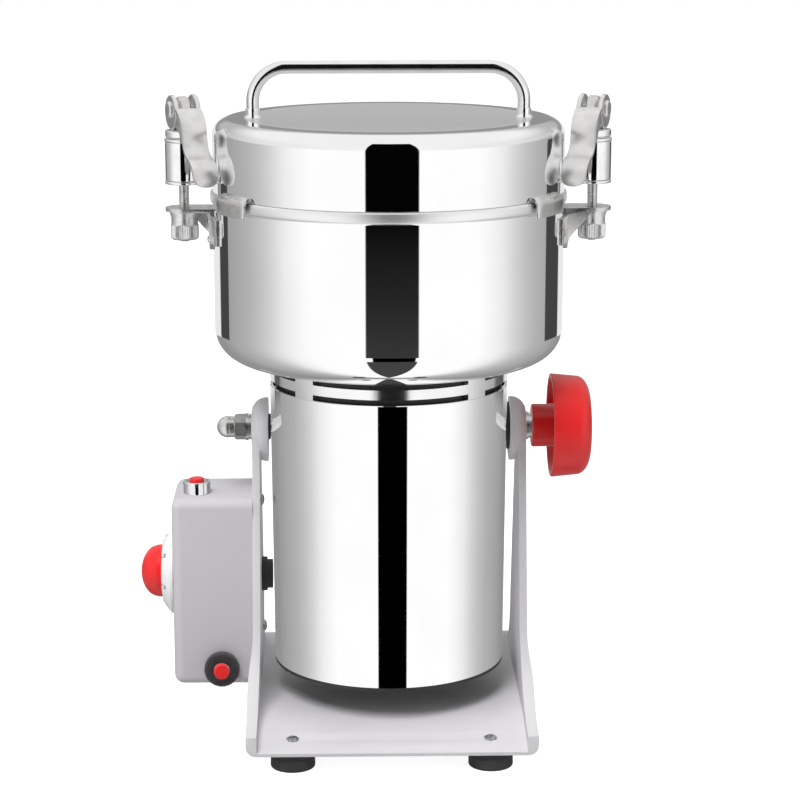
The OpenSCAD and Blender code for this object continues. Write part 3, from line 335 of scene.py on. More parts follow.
def turned(outline, segments=96, closed=True):
    """Turns an outline of (radius, height) points about Z, as on a lathe. A closed outline makes a ring.
    Long straight runs get a support line at each end, so that the smoothing keeps them flat."""
    pole_r, support, long_run = 1e-7, 0.05 * mm, 1.2 * mm
    points = [(max(radius, pole_r), height) for radius, height in outline]
    if closed:
        points.append(points[0])
    dense = points[:1]
    for (r0, z0), (r1, z1) in zip(points, points[1:]):
        run = math.hypot(r1 - r0, z1 - z0)
        share = support / max(run, support)
        if run > long_run and r0 > support:
            dense.append((r0 + (r1 - r0) * share, z0 + (z1 - z0) * share))
        if run > long_run and r1 > support:
            dense.append((r1 + (r0 - r1) * share, z1 + (z0 - z1) * share))
        dense.append((r1, z1))
    deselect()
    bpy.ops.mesh.primitive_circle_add(vertices=segments, radius=dense[0][0], location=(0, 0, dense[0][1]))
    bpy.ops.object.mode_set(mode="EDIT")
    for (r0, z0), (r1, z1) in zip(dense, dense[1:]):
        bpy.ops.mesh.extrude_region()
        bpy.ops.transform.resize(value=(r1 / r0, r1 / r0, 1), center_override=(0, 0, z0))
        bpy.ops.transform.translate(value=(0, 0, z1 - z0))
    bpy.ops.mesh.select_all(action="SELECT")
    bpy.ops.mesh.remove_doubles(threshold=1e-6)
    bpy.ops.mesh.normals_make_consistent(inside=False)
    bpy.ops.object.mode_set(mode="OBJECT")
    piece = bpy.context.object
    bpy.ops.object.transform_apply()
    return piece


def arc(across, height, radius, start, end, steps, high=None):
    """Points of a rounding about (across, height), its angles in degrees up from level."""
    return [(across + radius * math.cos(math.radians(start + (end - start) * i / steps)),
             height + (high or radius) * math.sin(math.radians(start + (end - start) * i / steps)))
            for i in range(steps + 1)]


def placed(piece, place, turn=(0, 0, 0)):
    """Moves a piece made at the origin to its place, turned by degrees."""
    piece.rotation_euler = [math.radians(angle) for angle in turn]
    piece.location = place
    return piece


def twin(piece):
    """A copy with its own mesh."""
    copy = bpy.data.objects.new(piece.name, piece.data.copy())
    bpy.context.scene.collection.objects.link(copy)
    return copy


axis_x = (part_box("bowl")[0].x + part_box("bowl")[1].x) / 2
both = ((-1, "left"), (1, "right"))
rubber, start, shader = new_material("foot_rubber", specular_ior_level=0.35)
where = place_of(start)
grain = noise(start, where, 1400, 2)
dust = noise(start, where, 60, 4)
feed(shader, base_color=dust.step(0.4, 0.7).blend(colour(50, 50, 52), colour(60, 60, 62)),
     roughness=0.62 + 0.15 * dust, normal=bump(start, grain, 0.25, 0.0002))
foot_x, foot_y = 54 * mm, 80 * mm
foot_r, foot_h, foot_edge = 12.2 * mm, 9.98 * mm, 1.2 * mm
side_r, groove_low, groove_high, step = foot_r - 0.1 * mm, 6.4 * mm, 7.7 * mm, 0.4 * mm
hole_r, room_r, room_h = 2.1 * mm, 4 * mm, 3.3 * mm
foot = turned([(hole_r, room_h), (room_r, room_h), (room_r, step), (room_r + step, 0)]
              + arc(foot_r - foot_edge, foot_edge, foot_edge, -90, 0, 5)
              + [(side_r, groove_low), (side_r - step, groove_low + step),
                 (side_r - step, groove_high - step), (side_r, groove_high), (side_r, foot_h - step),
                 (side_r - step, foot_h), (hole_r, foot_h)])
for y, end in ((-1, "front"), (1, "back")):
    for x, side in both:
        finished(placed(twin(foot), (axis_x + x * foot_x, y * foot_y, 0)), "foot_" + end + "_" + side,
                 rubber, "frame", "foot_rubber", "feet")
bpy.data.objects.remove(foot)

# Machine screws of plated steel: domed heads with a straight slot on the stand and in the
# upright, and three under the motor. Only the heads show, each standing on its own shank.


def clouded(name, scale, detail, dark, light, rough, spread, relief=None, start_share=0.3, **fixed):
    """A material whose colour and gloss vary in soft clouds. Relief is a bump's strength, its depth,
    and the scale of its own noise, or 0 where the clouds are its height."""
    material, start, shader = new_material(name, **fixed)
    where = place_of(start)
    cloud = noise(start, where, scale, detail)
    links = {"base_color": cloud.step(start_share, 0.7).blend(colour(*dark), colour(*light)),
             "roughness": rough + spread * cloud}
    if relief:
        strength, depth, fine = relief
        links["normal"] = bump(start, noise(start, where, fine, 2) if fine else cloud, strength, depth)
    feed(shader, **links)
    return material


steel_screw = clouded("screw_steel", scale=500, detail=3, dark=(150, 150, 152), light=(190, 190, 192),
                      rough=0.25, spread=0.2, relief=(0.1, 0.0001, 0), start_share=0.35, metallic=1.0)
apron_tilt = 12.6
foot_screw_r, box_screw_r, cap_screw_r, shank_r = 2.9 * mm, 3.3 * mm, 3.5 * mm, 1.95 * mm
front_seat_z, back_seat_z, cap_seat_z = 15.05 * mm, 20.85 * mm, 36.95 * mm
wall_in, cap_screw_reach = 72.3 * mm, 52 * mm


def screw(name, radius, head, length, place, turn, body, slot_turn, *replaced):
    """A slotted screw that points up from its place, its head's rim at height zero."""
    piece = turned([(0, -length), (shank_r, -length), (shank_r, 0), (radius, 0), (radius, head * 0.25)]
                   + arc(0, head * 0.25, radius, 12, 90, 6, high=head * 0.75), segments=40, closed=False)
    deselect()
    bpy.ops.mesh.primitive_cube_add(size=1, location=(0, 0, head))
    cutter = bpy.context.object
    cutter.scale = (radius * 2.4, radius * 0.28, head * 0.9)
    cutter.rotation_euler = (0, 0, math.radians(slot_turn))
    bpy.context.view_layer.update()
    add_modifier(piece, "BOOLEAN", object=cutter, operation="DIFFERENCE", solver="EXACT")
    bpy.data.objects.remove(cutter)
    return finished(placed(piece, place, turn), name, steel_screw, body, "steel_screw", *replaced)


for side, name, slot_turn in ((-1, "left", 8), (1, "right", 52)):
    x = axis_x + side * foot_x
    screw("front_screw_" + name, foot_screw_r, 1.5 * mm, 7 * mm, (x, -foot_y, front_seat_z),
          (apron_tilt, 0, 0), "frame", slot_turn, "foot_screws")
    screw("back_screw_" + name, foot_screw_r, 1.9 * mm, 12 * mm, (x, foot_y, back_seat_z), (0, 0, 0), "frame",
          slot_turn + 20, "foot_screws")
for name, y, z, slot_turn in (("high", 3.06 * mm, 128.85 * mm, 35), ("low", 21.96 * mm, 48.1 * mm, -20)):
    screw("box_screw_" + name, box_screw_r, 1.9 * mm, 9 * mm, (axis_x - wall_in, y, z), (0, 90, 0), "frame",
          slot_turn, "box_screws")
for number, angle in enumerate((90, 210, 330)):
    x = axis_x + cap_screw_reach * math.cos(math.radians(angle))
    y = cap_screw_reach * math.sin(math.radians(angle))
    screw("cap_screw_%d" % number, cap_screw_r, 1.1 * mm, 5 * mm, (x, y, cap_seat_z), (180, 0, 0), "head",
          angle + 15, "cap_screws")

# The control box is folded sheet steel in the same grey, its edges rolled round. It is screwed
# to the left upright from the inside, so its left, front, back and top show no fastener.
box_paint, start, shader = new_material("box_paint", coat_weight=0.15, coat_roughness=0.3)
where = place_of(start)
tint = noise(start, where, 11, 3)
peel = noise(start, where, 1100, 2)
feed(shader, base_color=tint.step(0.35, 0.65).blend(colour(196, 193, 197), colour(201, 198, 201)),
     roughness=0.42 + 0.06 * tint, normal=bump(start, peel, 0.08, 0.0002))
box_low, box_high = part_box("control_box")
wall_out, box_edge, spare = 76.48 * mm, 5.5 * mm, 10 * mm
wall_side = axis_x - wall_out
deselect()
bpy.ops.mesh.primitive_cube_add(size=1, location=((box_low.x + wall_side + spare) / 2,
                                                  (box_low.y + box_high.y) / 2, (box_low.z + box_high.z) / 2))
box = bpy.context.object
box.scale = (wall_side - box_low.x + spare, box_high.y - box_low.y, box_high.z - box_low.z)
bpy.ops.object.transform_apply()
eased(box, box_edge, 7)
edit_all()
bpy.ops.mesh.bisect(plane_co=(wall_side, 0, 0), plane_no=(1, 0, 0), clear_outer=True, use_fill=True)
bpy.ops.object.mode_set(mode="OBJECT")
finished(box, "control_box_shell", box_paint, "frame", "box_paint", "control_box")

# Soft black parts: the grommet that carries the motor's wires through the upright, the gland on
# the box's back, and the spacers that keep the motor off the uprights.


def give(material, *nodes):
    """The CAD nodes keep their mesh and get this material."""
    for name in nodes:
        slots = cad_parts[name].material_slots
        for slot in slots:
            slot.material = material
        if not slots:
            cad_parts[name].data.materials.append(material)


black_rubber = clouded("black_rubber", scale=1500, detail=2, dark=(30, 30, 32), light=(44, 44, 46),
                       rough=0.5, spread=0.2, relief=(0.2, 0.0002, 0), specular_ior_level=0.4)
give(black_rubber, "cable_grommet", "cord_gland", "pivot_spacers")

# The timer: a pale moulded dial plate pressed on the box, domed towards the knob, with raised
# minutes around it, and a red knob that turns on the clockwork's shaft.


def joined(*pieces):
    """One piece made of several."""
    deselect()
    for piece in pieces:
        piece.select_set(True)
    bpy.context.view_layer.objects.active = pieces[0]
    bpy.ops.object.transform_apply()
    bpy.ops.object.join()
    return pieces[0]


dial_plastic = clouded("dial_plastic", scale=40, detail=3, dark=(238, 238, 240), light=(246, 246, 247),
                       rough=0.28, spread=0.08, relief=(0.05, 0.0001, 700), specular_ior_level=0.45)
red_plastic = clouded("red_plastic", scale=35, detail=3, dark=(234, 30, 32), light=(240, 36, 38),
                      rough=0.25, spread=0.1, relief=(0.04, 0.0003, 300), specular_ior_level=0.5)
black_plastic = clouded("black_plastic", scale=900, detail=2, dark=(40, 38, 39), light=(54, 51, 52),
                        rough=0.4, spread=0.15, relief=(0.15, 0.0002, 0), specular_ior_level=0.45)
dial_low, dial_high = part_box("dial_plate")
dial_y, dial_z = (dial_low.y + dial_high.y) / 2, (dial_low.z + dial_high.z) / 2
dial_r, dial_h = (dial_high.z - dial_low.z) / 2, dial_high.x - dial_low.x
seat_x = dial_high.x
knob_seat_r, dial_bore_r, dial_step = 15.6 * mm, 3.6 * mm, 0.35 * mm
rim_h = dial_h * 0.3


def crown_height(share):
    """Height of the dial's crown at a share of the way in from its rim."""
    return rim_h + (dial_h - rim_h) * math.sin(share * math.pi / 2)


def on_dial(radius):
    """Height of the dial's crown at a radius."""
    return crown_height(min(max((dial_r - dial_step - radius) / (dial_r - knob_seat_r), 0), 1))


crown = [(dial_r - dial_step - (dial_r - knob_seat_r) * share, crown_height(share))
         for share in (0.0, 0.12, 0.25, 0.4, 0.55, 0.7, 0.85, 1.0)]
dial = turned([(dial_bore_r, 0), (dial_r - 0.3 * mm, 0), (dial_r, 0.3 * mm), (dial_r, rim_h - 0.3 * mm)]
              + crown + [(dial_bore_r, dial_h)])
finished(placed(dial, (seat_x, dial_y, dial_z), (0, -90, 0)), "timer_dial", dial_plastic, "frame",
         "dial_plastic", "dial_plate")
mark_count, sweep, minutes_per_mark = 12, 300, 5
number_r, number_size = 20.7 * mm, 2.9 * mm
marks = []
for number in range(mark_count + 1):
    angle = math.radians(sweep * number / mark_count - sweep / 2)
    out_x, out_y = math.cos(angle), math.sin(angle)
    long_mark = number % 2 == 0
    inner, outer = (17.2 * mm, 18.6 * mm) if long_mark else (17.4 * mm, 18.2 * mm)
    middle = (inner + outer) / 2
    deselect()
    bpy.ops.mesh.primitive_cube_add(size=1, location=(0, 0, 0))
    mark = bpy.context.object
    mark.scale = (outer - inner, 0.5 * mm if long_mark else 0.35 * mm, 0.5 * mm)
    mark.rotation_euler = (0, math.atan2(on_dial(inner) - on_dial(outer), outer - inner), angle)
    mark.location = (middle * out_x, middle * out_y, on_dial(middle) - 0.12 * mm)
    marks.append(mark)
    if long_mark and number:
        bpy.ops.object.text_add(location=(0, 0, 0))
        text = bpy.context.object
        text.data.body = str(number * minutes_per_mark)
        text.data.size = number_size
        text.data.extrude = 0.12 * mm
        text.data.resolution_u = 3
        text.data.align_x, text.data.align_y = "CENTER", "CENTER"
        bpy.ops.object.convert(target="MESH")
        text = bpy.context.object
        slope = math.atan2(on_dial(number_r - mm) - on_dial(number_r + mm), 2 * mm)
        lean = Vector((0, 0, 1)).rotation_difference(
            Vector((math.sin(slope) * out_x, math.sin(slope) * out_y, math.cos(slope))))
        text.rotation_mode = "QUATERNION"
        text.rotation_quaternion = lean @ Vector((0, 1, 0)).rotation_difference(Vector((out_x, out_y, 0)))
        text.location = (number_r * out_x, number_r * out_y, on_dial(number_r) + 0.02 * mm)
        marks.append(text)
finished(placed(joined(*marks), (seat_x, dial_y, dial_z), (0, -90, 0)), "timer_minutes", black_plastic,
         "frame", "black_plastic")
timer_low, timer_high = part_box("timer_knob")
timer_r = (timer_high.z - timer_low.z) / 2
timer_base = dial_low.x - 0.1 * mm
timer_h = timer_base - timer_low.x
side_h, stem_r, stem_h = timer_h * 0.2, 3 * mm, 8 * mm
timer = turned([(0, -stem_h), (stem_r, -stem_h), (stem_r, 0), (timer_r - 0.3 * mm, 0), (timer_r, 0.3 * mm),
                (timer_r - 0.1 * mm, side_h)]
               + arc(0, side_h, timer_r - 0.35 * mm, 6, 90, 14, high=timer_h - side_h), closed=False)
finished(placed(timer, (timer_base, dial_y, dial_z), (0, -90, 0)), "timer_dome", red_plastic, "timer_knob",
         "red_plastic", "timer_knob")
dot_r, dot_flat, dot_out, dot_in, dot_tilt = 0.8 * mm, 0.35, 3.4 * mm, 0.75 * mm, 12
deselect()
bpy.ops.mesh.primitive_uv_sphere_add(segments=20, ring_count=10, radius=dot_r, location=(0, 0, 0))
dot = bpy.context.object
dot.scale = (1, 1, dot_flat)
finished(placed(dot, (timer_base - dot_out, dial_y, dial_z + timer_r - dot_in), (dot_tilt, 0, 0)),
         "timer_pointer", dial_plastic, "timer_knob", "dial_plastic")
give(black_plastic, "timer_body", "start_switch", "breaker_body", "fan")

# The start button: a chromed round collar nut with a step in its side holds a red plunger in the
# box's top. The plunger's rim is rounded.


def button(radius, height, crown=0.0):
    """A plunger that stands up to a height over its seat, its rim rounded."""
    edge, root = 1 * mm, 4 * mm
    return turned([(0, -root), (radius, -root)] + arc(radius - edge, height - edge, edge, 0, 90, 5)
                  + [(0, height + crown)], segments=56, closed=False)


chrome = clouded("chrome_ring", scale=300, detail=3, dark=(226, 227, 230), light=(238, 238, 240),
                 rough=0.05, spread=0.08, metallic=1.0)
ring_low, ring_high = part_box("start_ring")
start_x, start_y = (ring_low.x + ring_high.x) / 2, (ring_low.y + ring_high.y) / 2
ring_r, ring_h = (ring_high.x - ring_low.x) / 2, ring_high.z - ring_low.z
button_r = ring_r * 0.55
collar = turned([(button_r + 0.15 * mm, 0), (ring_r - 0.4 * mm, 0), (ring_r - 0.2 * mm, 0.3 * mm),
                 (ring_r - 0.2 * mm, ring_h * 0.72), (ring_r, ring_h * 0.78), (ring_r, ring_h - 0.5 * mm)]
                + arc(ring_r - 0.6 * mm, ring_h - 0.6 * mm, 0.6 * mm, 0, 90, 4)
                + [(ring_r - 1.5 * mm, ring_h), (ring_r - 2 * mm, ring_h - 1.6 * mm),
                   (button_r + 0.15 * mm, ring_h - 1.8 * mm)], segments=72)
finished(placed(collar, (start_x, start_y, ring_low.z)), "start_collar", chrome, "frame", "chrome_ring",
         "start_ring")
plunger = button(button_r, ring_h + 1.7 * mm, 0.15 * mm)
finished(placed(plunger, (start_x, start_y, ring_low.z)), "start_plunger", red_plastic, "start_button",
         "red_plastic", "start_button")

# The reset: a knurled black ring nut holds the motor's breaker in the box's front, and the
# breaker's red button stands in it.
ring_low, ring_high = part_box("reset_ring")
reset_x, reset_z = (ring_low.x + ring_high.x) / 2, (ring_low.z + ring_high.z) / 2
ring_r, ring_h = (ring_high.z - ring_low.z) / 2, ring_high.y - ring_low.y
button_r = ring_r * 0.44
teeth = 44
knurled = turned([(button_r + 0.3 * mm, 0), (ring_r - 0.5 * mm, 0), (ring_r, 0.5 * mm),
                  (ring_r, ring_h - 1.1 * mm), (ring_r - 0.8 * mm, ring_h - 0.3 * mm),
                  (ring_r - 2.2 * mm, ring_h), (button_r + 1.5 * mm, ring_h), (button_r + 1.2 * mm, ring_h),
                  (button_r + 1.0 * mm, ring_h - 0.8 * mm), (button_r + 0.3 * mm, ring_h - 0.8 * mm)],
                 segments=teeth * 4)


def knurl(piece, count, radius, depth, low, high):
    """Cuts grooves into a turned piece's side between two heights."""
    for vertex in piece.data.vertices:
        x, y, z = vertex.co
        reach = math.hypot(x, y)
        if reach > radius - depth * 1.6 and low <= z <= high:
            phase = (math.degrees(math.atan2(y, x)) / 360 * count) % 1
            groove = depth * (1 - abs(2 * phase - 1)) ** 1.3
            vertex.co.x *= 1 - groove / reach
            vertex.co.y *= 1 - groove / reach


knurl(knurled, teeth, ring_r, 0.55 * mm, 0.4 * mm, ring_h - 0.25 * mm)
finished(placed(knurled, (reset_x, ring_high.y, reset_z), (90, 0, 0)), "reset_nut", black_plastic, "frame",
         "black_plastic", "reset_ring", angle=25)
reset_h = ring_high.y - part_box("reset_button")[0].y
reset = button(button_r, reset_h)
finished(placed(reset, (reset_x, ring_high.y, reset_z), (90, 0, 0)), "reset_plunger", red_plastic,
         "reset_button", "red_plastic", "reset_button")

# Mirror-polished stainless sheet: the motor tube here, then the bowl and the lid's side. Fine
# lines from the buffing wheel run round the axis.


def polish(start, where):
    """The colour and the roughness of mirror-polished steel, which vary in soft clouds."""
    haze = noise(start, where, 25, 4)
    return haze.step(0.3, 0.7).blend(colour(248, 248, 249), colour(252, 252, 252)), 0.012 + 0.03 * haze


def buffed(start):
    """A normal that follows the buffing wheel's lines."""
    return bump(start, noise(start, place_of(start, (60, 60, 1400)), 1.0, 2), 0.006, 0.0001)


mirror_steel, start, shader = new_material("mirror_steel", metallic=1.0)
steel_tone, haze = polish(start, place_of(start))
feed(shader, base_color=steel_tone, roughness=haze, normal=buffed(start))
tube_low, tube_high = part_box("motor_tube")
tube_r, tube_low_r = 66.4 * mm, 65 * mm
tube = turned([(tube_low_r - 1.45 * mm, tube_low.z), (tube_low_r - 0.3 * mm, tube_low.z),
               (tube_low_r + 0.02 * mm, tube_low.z + 0.4 * mm), (tube_r, tube_high.z - 0.3 * mm),
               (tube_r - 0.3 * mm, tube_high.z), (tube_r - 1.45 * mm, tube_high.z)], segments=240)
finished(placed(tube, (axis_x, 0, 0)), "motor_shell", mirror_steel, "head", "mirror_steel", "motor_tube")

# The slotted ring between motor and bowl and the handle's bar keep the solids' shape. Their
# steel is only brushed bright, so it blurs a little what it mirrors.
rod_steel = clouded("rod_steel", scale=60, detail=3, dark=(240, 240, 241), light=(250, 250, 250),
                    rough=0.11, spread=0.04, metallic=1.0)
give(rod_steel, "vent_ring", "handle")

# A black plastic cap with air slots closes the motor's bottom. The black sheet behind the vent
# slots is painted shade: it darkens the slots where the motor's inside lies in shade.
give(black_plastic, "motor_cap")
vent_low, vent_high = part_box("vent_ring")
# painted shade: a black sheet just inside the vent slots that makes them dark
shade_sheet_r, shade_sheet_t = 63 * mm, 0.8 * mm
shade_sheet_top = vent_high.z - 0.3 * mm
vent_shade_sheet = turned([(shade_sheet_r - shade_sheet_t, vent_low.z - mm), (shade_sheet_r, vent_low.z - mm), (shade_sheet_r, shade_sheet_top),
                (shade_sheet_r - shade_sheet_t, shade_sheet_top)], segments=120)
finished(placed(vent_shade_sheet, (axis_x, 0, 0)), "vent_liner", black_plastic, "head", "black_plastic")

# The bowl is deep-drawn from sheet: flat floor, large lower radius, and a rolled band round its
# mouth whose buffed, slightly matt bead blurs what it mirrors.
rim_steel, start, shader = new_material("rim_steel", metallic=1.0)
from_axis = place_of(start, centre=(axis_x, 0, 0))
band_low, band_haze = 299.6 * mm, 0.34
band = from_axis.parts()[2].step(band_low, band_low + 0.4 * mm)
steel_tone, haze = polish(start, from_axis)
feed(shader, base_color=steel_tone, roughness=haze + band * band_haze, normal=buffed(start))
bowl_low, bowl_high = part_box("bowl")
bowl_r, rim_r, sheet, bowl_edge, shaft_hole_r = 96.5 * mm, 98 * mm, 1.5 * mm, 17.5 * mm, 13.05 * mm
floor_z, rim_z, rim_top = bowl_low.z, bowl_high.z - 5.8 * mm, bowl_high.z
bowl = turned([(shaft_hole_r, floor_z + sheet), (shaft_hole_r, floor_z)]
              + arc(bowl_r - bowl_edge, floor_z + bowl_edge, bowl_edge, -90, 0, 24)
              + [(bowl_r, rim_z - 0.8 * mm), (bowl_r + 0.25 * mm, rim_z - 0.25 * mm),
                 (bowl_r + 0.8 * mm, rim_z + 0.1 * mm), (rim_r - 0.25 * mm, rim_z + 0.75 * mm),
                 (rim_r - 0.05 * mm, rim_z + 1.9 * mm), (rim_r, rim_z + 3 * mm),
                 (rim_r - 0.08 * mm, rim_z + 4.1 * mm), (rim_r - 0.35 * mm, rim_z + 5.1 * mm),
                 (rim_r - 0.9 * mm, rim_z + 5.6 * mm), (rim_r - 1.6 * mm, rim_top), (bowl_r - sheet, rim_top)]
              + arc(bowl_r - bowl_edge, floor_z + bowl_edge, bowl_edge - sheet, 0, -90, 16), segments=256)
finished(placed(bowl, (axis_x, 0, 0)), "bowl_shell", rim_steel, "head", "mirror_steel", "bowl")

# The lid is a drawn cap: its side is mirror-polished like the bowl, its flat top is turned to a
# satin finish inside a fine line, and the bar handle is welded to it through two small collars.
lid_steel, start, shader = new_material("lid_steel", metallic=1.0)
from_axis = place_of(start, centre=(axis_x, 0, 0))
x_part, y_part, z_part = from_axis.parts()
reach = start.math("SQRT", x_part * x_part + y_part * y_part)
satin_edge, satin_haze = 78.5 * mm, 0.36
lid_low, lid_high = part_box("lid")
satin = (reach.step(satin_edge - 0.3 * mm, satin_edge, 1, 0)
         * z_part.step(lid_high.z - 1 * mm, lid_high.z - 0.6 * mm))
rings = start.node("TexNoise", {"W": reach * 1800, "Scale": 1.0, "Detail": 2.0}, noise_dimensions="1D")
steel_tone, haze = polish(start, from_axis)
feed(shader, base_color=satin.blend(steel_tone, colour(228, 228, 228)),
     roughness=haze * (1 - satin) + satin * satin_haze, normal=bump(start, rings * satin, 0.12, 0.0001))
lid_base, lid_top, lid_edge = lid_low.z, lid_high.z, 9 * mm
lid = turned([(0, lid_top - sheet)]
             + arc(bowl_r - lid_edge, lid_top - lid_edge, lid_edge - sheet, 90, 0, 12)
             + [(bowl_r - sheet, lid_base), (bowl_r - 0.25 * mm, lid_base), (bowl_r, lid_base + 0.25 * mm)]
             + arc(bowl_r - lid_edge, lid_top - lid_edge, lid_edge, 0, 90, 18)
             + [(satin_edge + 0.35 * mm, lid_top), (satin_edge + 0.15 * mm, lid_top - 0.12 * mm),
                (satin_edge - 0.05 * mm, lid_top - 0.12 * mm), (satin_edge - 0.25 * mm, lid_top),
                (0, lid_top)], segments=256, closed=False)
finished(placed(lid, (axis_x, 0, 0)), "lid_cap", lid_steel, "lid", "lid_steel", "lid")
handle_x = 74 * mm
for side, name in both:
    weld = turned([(3.55 * mm, 0), (4.9 * mm, 0), (4.7 * mm, 0.5 * mm), (4.25 * mm, 1 * mm),
                   (4.1 * mm, 1.5 * mm), (4.05 * mm, 4.6 * mm), (3.9 * mm, 4.9 * mm), (3.55 * mm, 5 * mm)],
                  segments=64)
    finished(placed(weld, (axis_x + side * handle_x, 0, lid_top)), "handle_collar_" + name, mirror_steel,
             "lid", "mirror_steel")

# Two hooks of pressed sheet on the lid reach over the bowl's rim band just in front of the
# clamps, and two brackets riveted to the bowl carry the clamps.
zinc = clouded("zinc_plate", scale=260, detail=4, dark=(212, 211, 210), light=(228, 227, 226), rough=0.2,
               spread=0.16, relief=(0.05, 0.0001, 0), metallic=1.0)
finished(eased(copied("lid_lugs"), 0.5 * mm, 2), "lid_hooks", zinc, "lid", "zinc", "lid_lugs")
finished(eased(copied("clamp_brackets"), 0.35 * mm, 2), "bracket_plates", zinc, "head", "zinc",
         "clamp_brackets")
give(zinc, "bracket_rivets", "pivot_washers", "acorn_nut", "pivot_studs", "left_springs", "right_springs")

# Each clamp is an eye bolt with an M6 thread, a sleeve over disc springs, washers, and a cast
# nickel-plated lever on a riveted pin. The left one is made here and the right one is its mirror.


def mirrored(piece):
    """A copy on the other side of the mill."""
    copy = twin(piece)
    pick(copy)
    copy.location = (2 * axis_x, 0, 0)
    copy.scale = (-1, 1, 1)
    bpy.ops.object.transform_apply()
    edit_all()
    bpy.ops.mesh.normals_make_consistent(inside=False)
    bpy.ops.object.mode_set(mode="OBJECT")
    return copy


clamp_x, swing = 112.3 * mm, 68
clamp_place = (axis_x - clamp_x, 0, 0)
clamp_turn = (0, 0, -swing)
pin_z = 349.3 * mm


def both_sides(piece, name, material, slot, body, node, **more):
    """Puts a clamp piece on the left rod and its mirror on the right."""
    pick(placed(piece, clamp_place, clamp_turn))
    bpy.ops.object.transform_apply()
    other = mirrored(piece)
    finished(piece, "left_" + name, material, "left_" + body, slot, "left_" + node, **more)
    finished(other, "right_" + name, material, "right_" + body, slot, "right_" + node, **more)


def clamp_box(node):
    """The box of one of the left clamp's nodes."""
    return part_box("left_" + node)


def disc(radius, thickness, edge, hole, segments):
    """A flat disc or ring about the origin, its rim chamfered."""
    half = thickness / 2
    return turned([(hole, -half), (radius - edge, -half), (radius, edge - half), (radius, half - edge),
                   (radius - edge, half), (hole, half)], segments, closed=hole > 0)


nickel = clouded("nickel", scale=180, detail=4, dark=(226, 225, 224), light=(238, 237, 236), rough=0.3,
                 spread=0.08, relief=(0.02, 0.0001, 700), metallic=1.0)
bright_nickel = clouded("bright_nickel", scale=180, detail=4, dark=(238, 238, 238),
                        light=(248, 248, 248), rough=0.04, spread=0.06, metallic=1.0)
rod_low, rod_top = clamp_box("eye_bolt")[0].z, 337 * mm
pitch, root_r, crest_r = mm, 2.45 * mm, 2.98 * mm
# the thread is swept up the rod from the outline of one turn
profile = [(root_r, 0), (crest_r, 0.42 * pitch), (crest_r, 0.58 * pitch), (root_r, pitch)]
thread_low = rod_low + 0.4 * mm
deselect()
bpy.ops.mesh.primitive_circle_add(vertices=len(profile), radius=mm, location=(0, 0, 0))
thread = bpy.context.object
for vertex, (reach, height) in zip(thread.data.vertices, profile):
    vertex.select = False
    vertex.co = (reach, 0, thread_low + height)
for edge in thread.data.edges:
    edge.select = set(edge.vertices) == {0, len(profile) - 1}
bpy.ops.object.mode_set(mode="EDIT")
bpy.ops.mesh.select_mode(type="EDGE")
bpy.ops.mesh.delete(type="EDGE")
bpy.ops.mesh.select_mode(type="VERT")
bpy.ops.object.mode_set(mode="OBJECT")
turns = int((rod_top - rod_low) / pitch) - 2
add_modifier(thread, "SCREW", angle=math.radians(360), screw_offset=pitch, iterations=turns, steps=20,
             render_steps=20, use_merge_vertices=True, merge_threshold=1e-6, use_normal_calculate=True)
edit_all()
bpy.ops.mesh.remove_doubles(threshold=2e-5)
bpy.ops.mesh.normals_make_consistent(inside=False)
bpy.ops.object.mode_set(mode="OBJECT")
core_r, neck_r = 2.6 * mm, 2.95 * mm
core = turned([(0, rod_low), (core_r - 0.5 * mm, rod_low), (core_r, rod_low + 0.5 * mm), (core_r, rod_top),
               (0, rod_top)], segments=32, closed=False)
neck_low, neck_top = rod_top - 2 * mm, pin_z - 5 * mm
neck = turned([(0, neck_low), (neck_r, neck_low), (neck_r, neck_top), (0, neck_top)], segments=32,
              closed=False)
eye = placed(disc(7 * mm, 6 * mm, 0.8 * mm, 2.57 * mm, 64), (0, 0, pin_z), (90, 0, 0))
both_sides(joined(thread, core, neck, eye), "eye_rod", zinc, "zinc", "clamp", "eye_bolt")

# The sleeve is a turned tube, plated bright, that slides over the disc springs on the rod. Its
# ends are rounded.
sleeve_low, sleeve_top = [corner.z for corner in clamp_box("sleeve")]
sleeve_r, sleeve_t, sleeve_edge = 10.1 * mm, 1.4 * mm, 0.5 * mm
sleeve = turned([(sleeve_r - sleeve_t, sleeve_low)]
                + arc(sleeve_r - sleeve_edge, sleeve_low + sleeve_edge, sleeve_edge, -90, 0, 4)
                + arc(sleeve_r - sleeve_edge, sleeve_top - sleeve_edge, sleeve_edge, 0, 90, 4)
                + [(sleeve_r - sleeve_t, sleeve_top)], segments=96)
both_sides(sleeve, "spring_sleeve", bright_nickel, "nickel", "clamp", "sleeve")

# Four washers ride on the rod: a thick one under the sleeve, and three between the sleeve and
# the lever's cams.
stack_low, stack_top = [corner.z for corner in clamp_box("washers")]
washer_r, washer_in = 10.4 * mm, 3.1 * mm


def washer(low, thickness, radius, edge=0.5 * mm):
    """A washer with a rounded rim, its underside at a height."""
    top, bend = low + thickness, min(edge, thickness * 0.45)
    return turned([(washer_in, low)] + arc(radius - bend, low + bend, bend, -90, 0, 4)
                  + arc(radius - bend, top - bend, bend, 0, 90, 4) + [(washer_in, top)], segments=72)


top_washer = sleeve_top + 2.6 * mm
stack = joined(washer(stack_low, 1.9 * mm, washer_r, 0.9 * mm),
               washer(sleeve_top + 0.1 * mm, 1.6 * mm, washer_r, 0.7 * mm),
               washer(sleeve_top + 1.9 * mm, 0.5 * mm, washer_r - 1.1 * mm),
               washer(top_washer, stack_top - top_washer, washer_r - 0.6 * mm, 0.6 * mm))
both_sides(stack, "washer_stack", bright_nickel, "zinc", "clamp", "washers")

# The lever is one nickel-plated casting: a strap bent in an S, with a rounded lip for the
# finger, between two cam ears that the pin goes through.
strap_u, strap_z = 8.7 * mm, 350 * mm
strap_w, strap_t, lip = 14.6 * mm, 2 * mm, 6.2 * mm
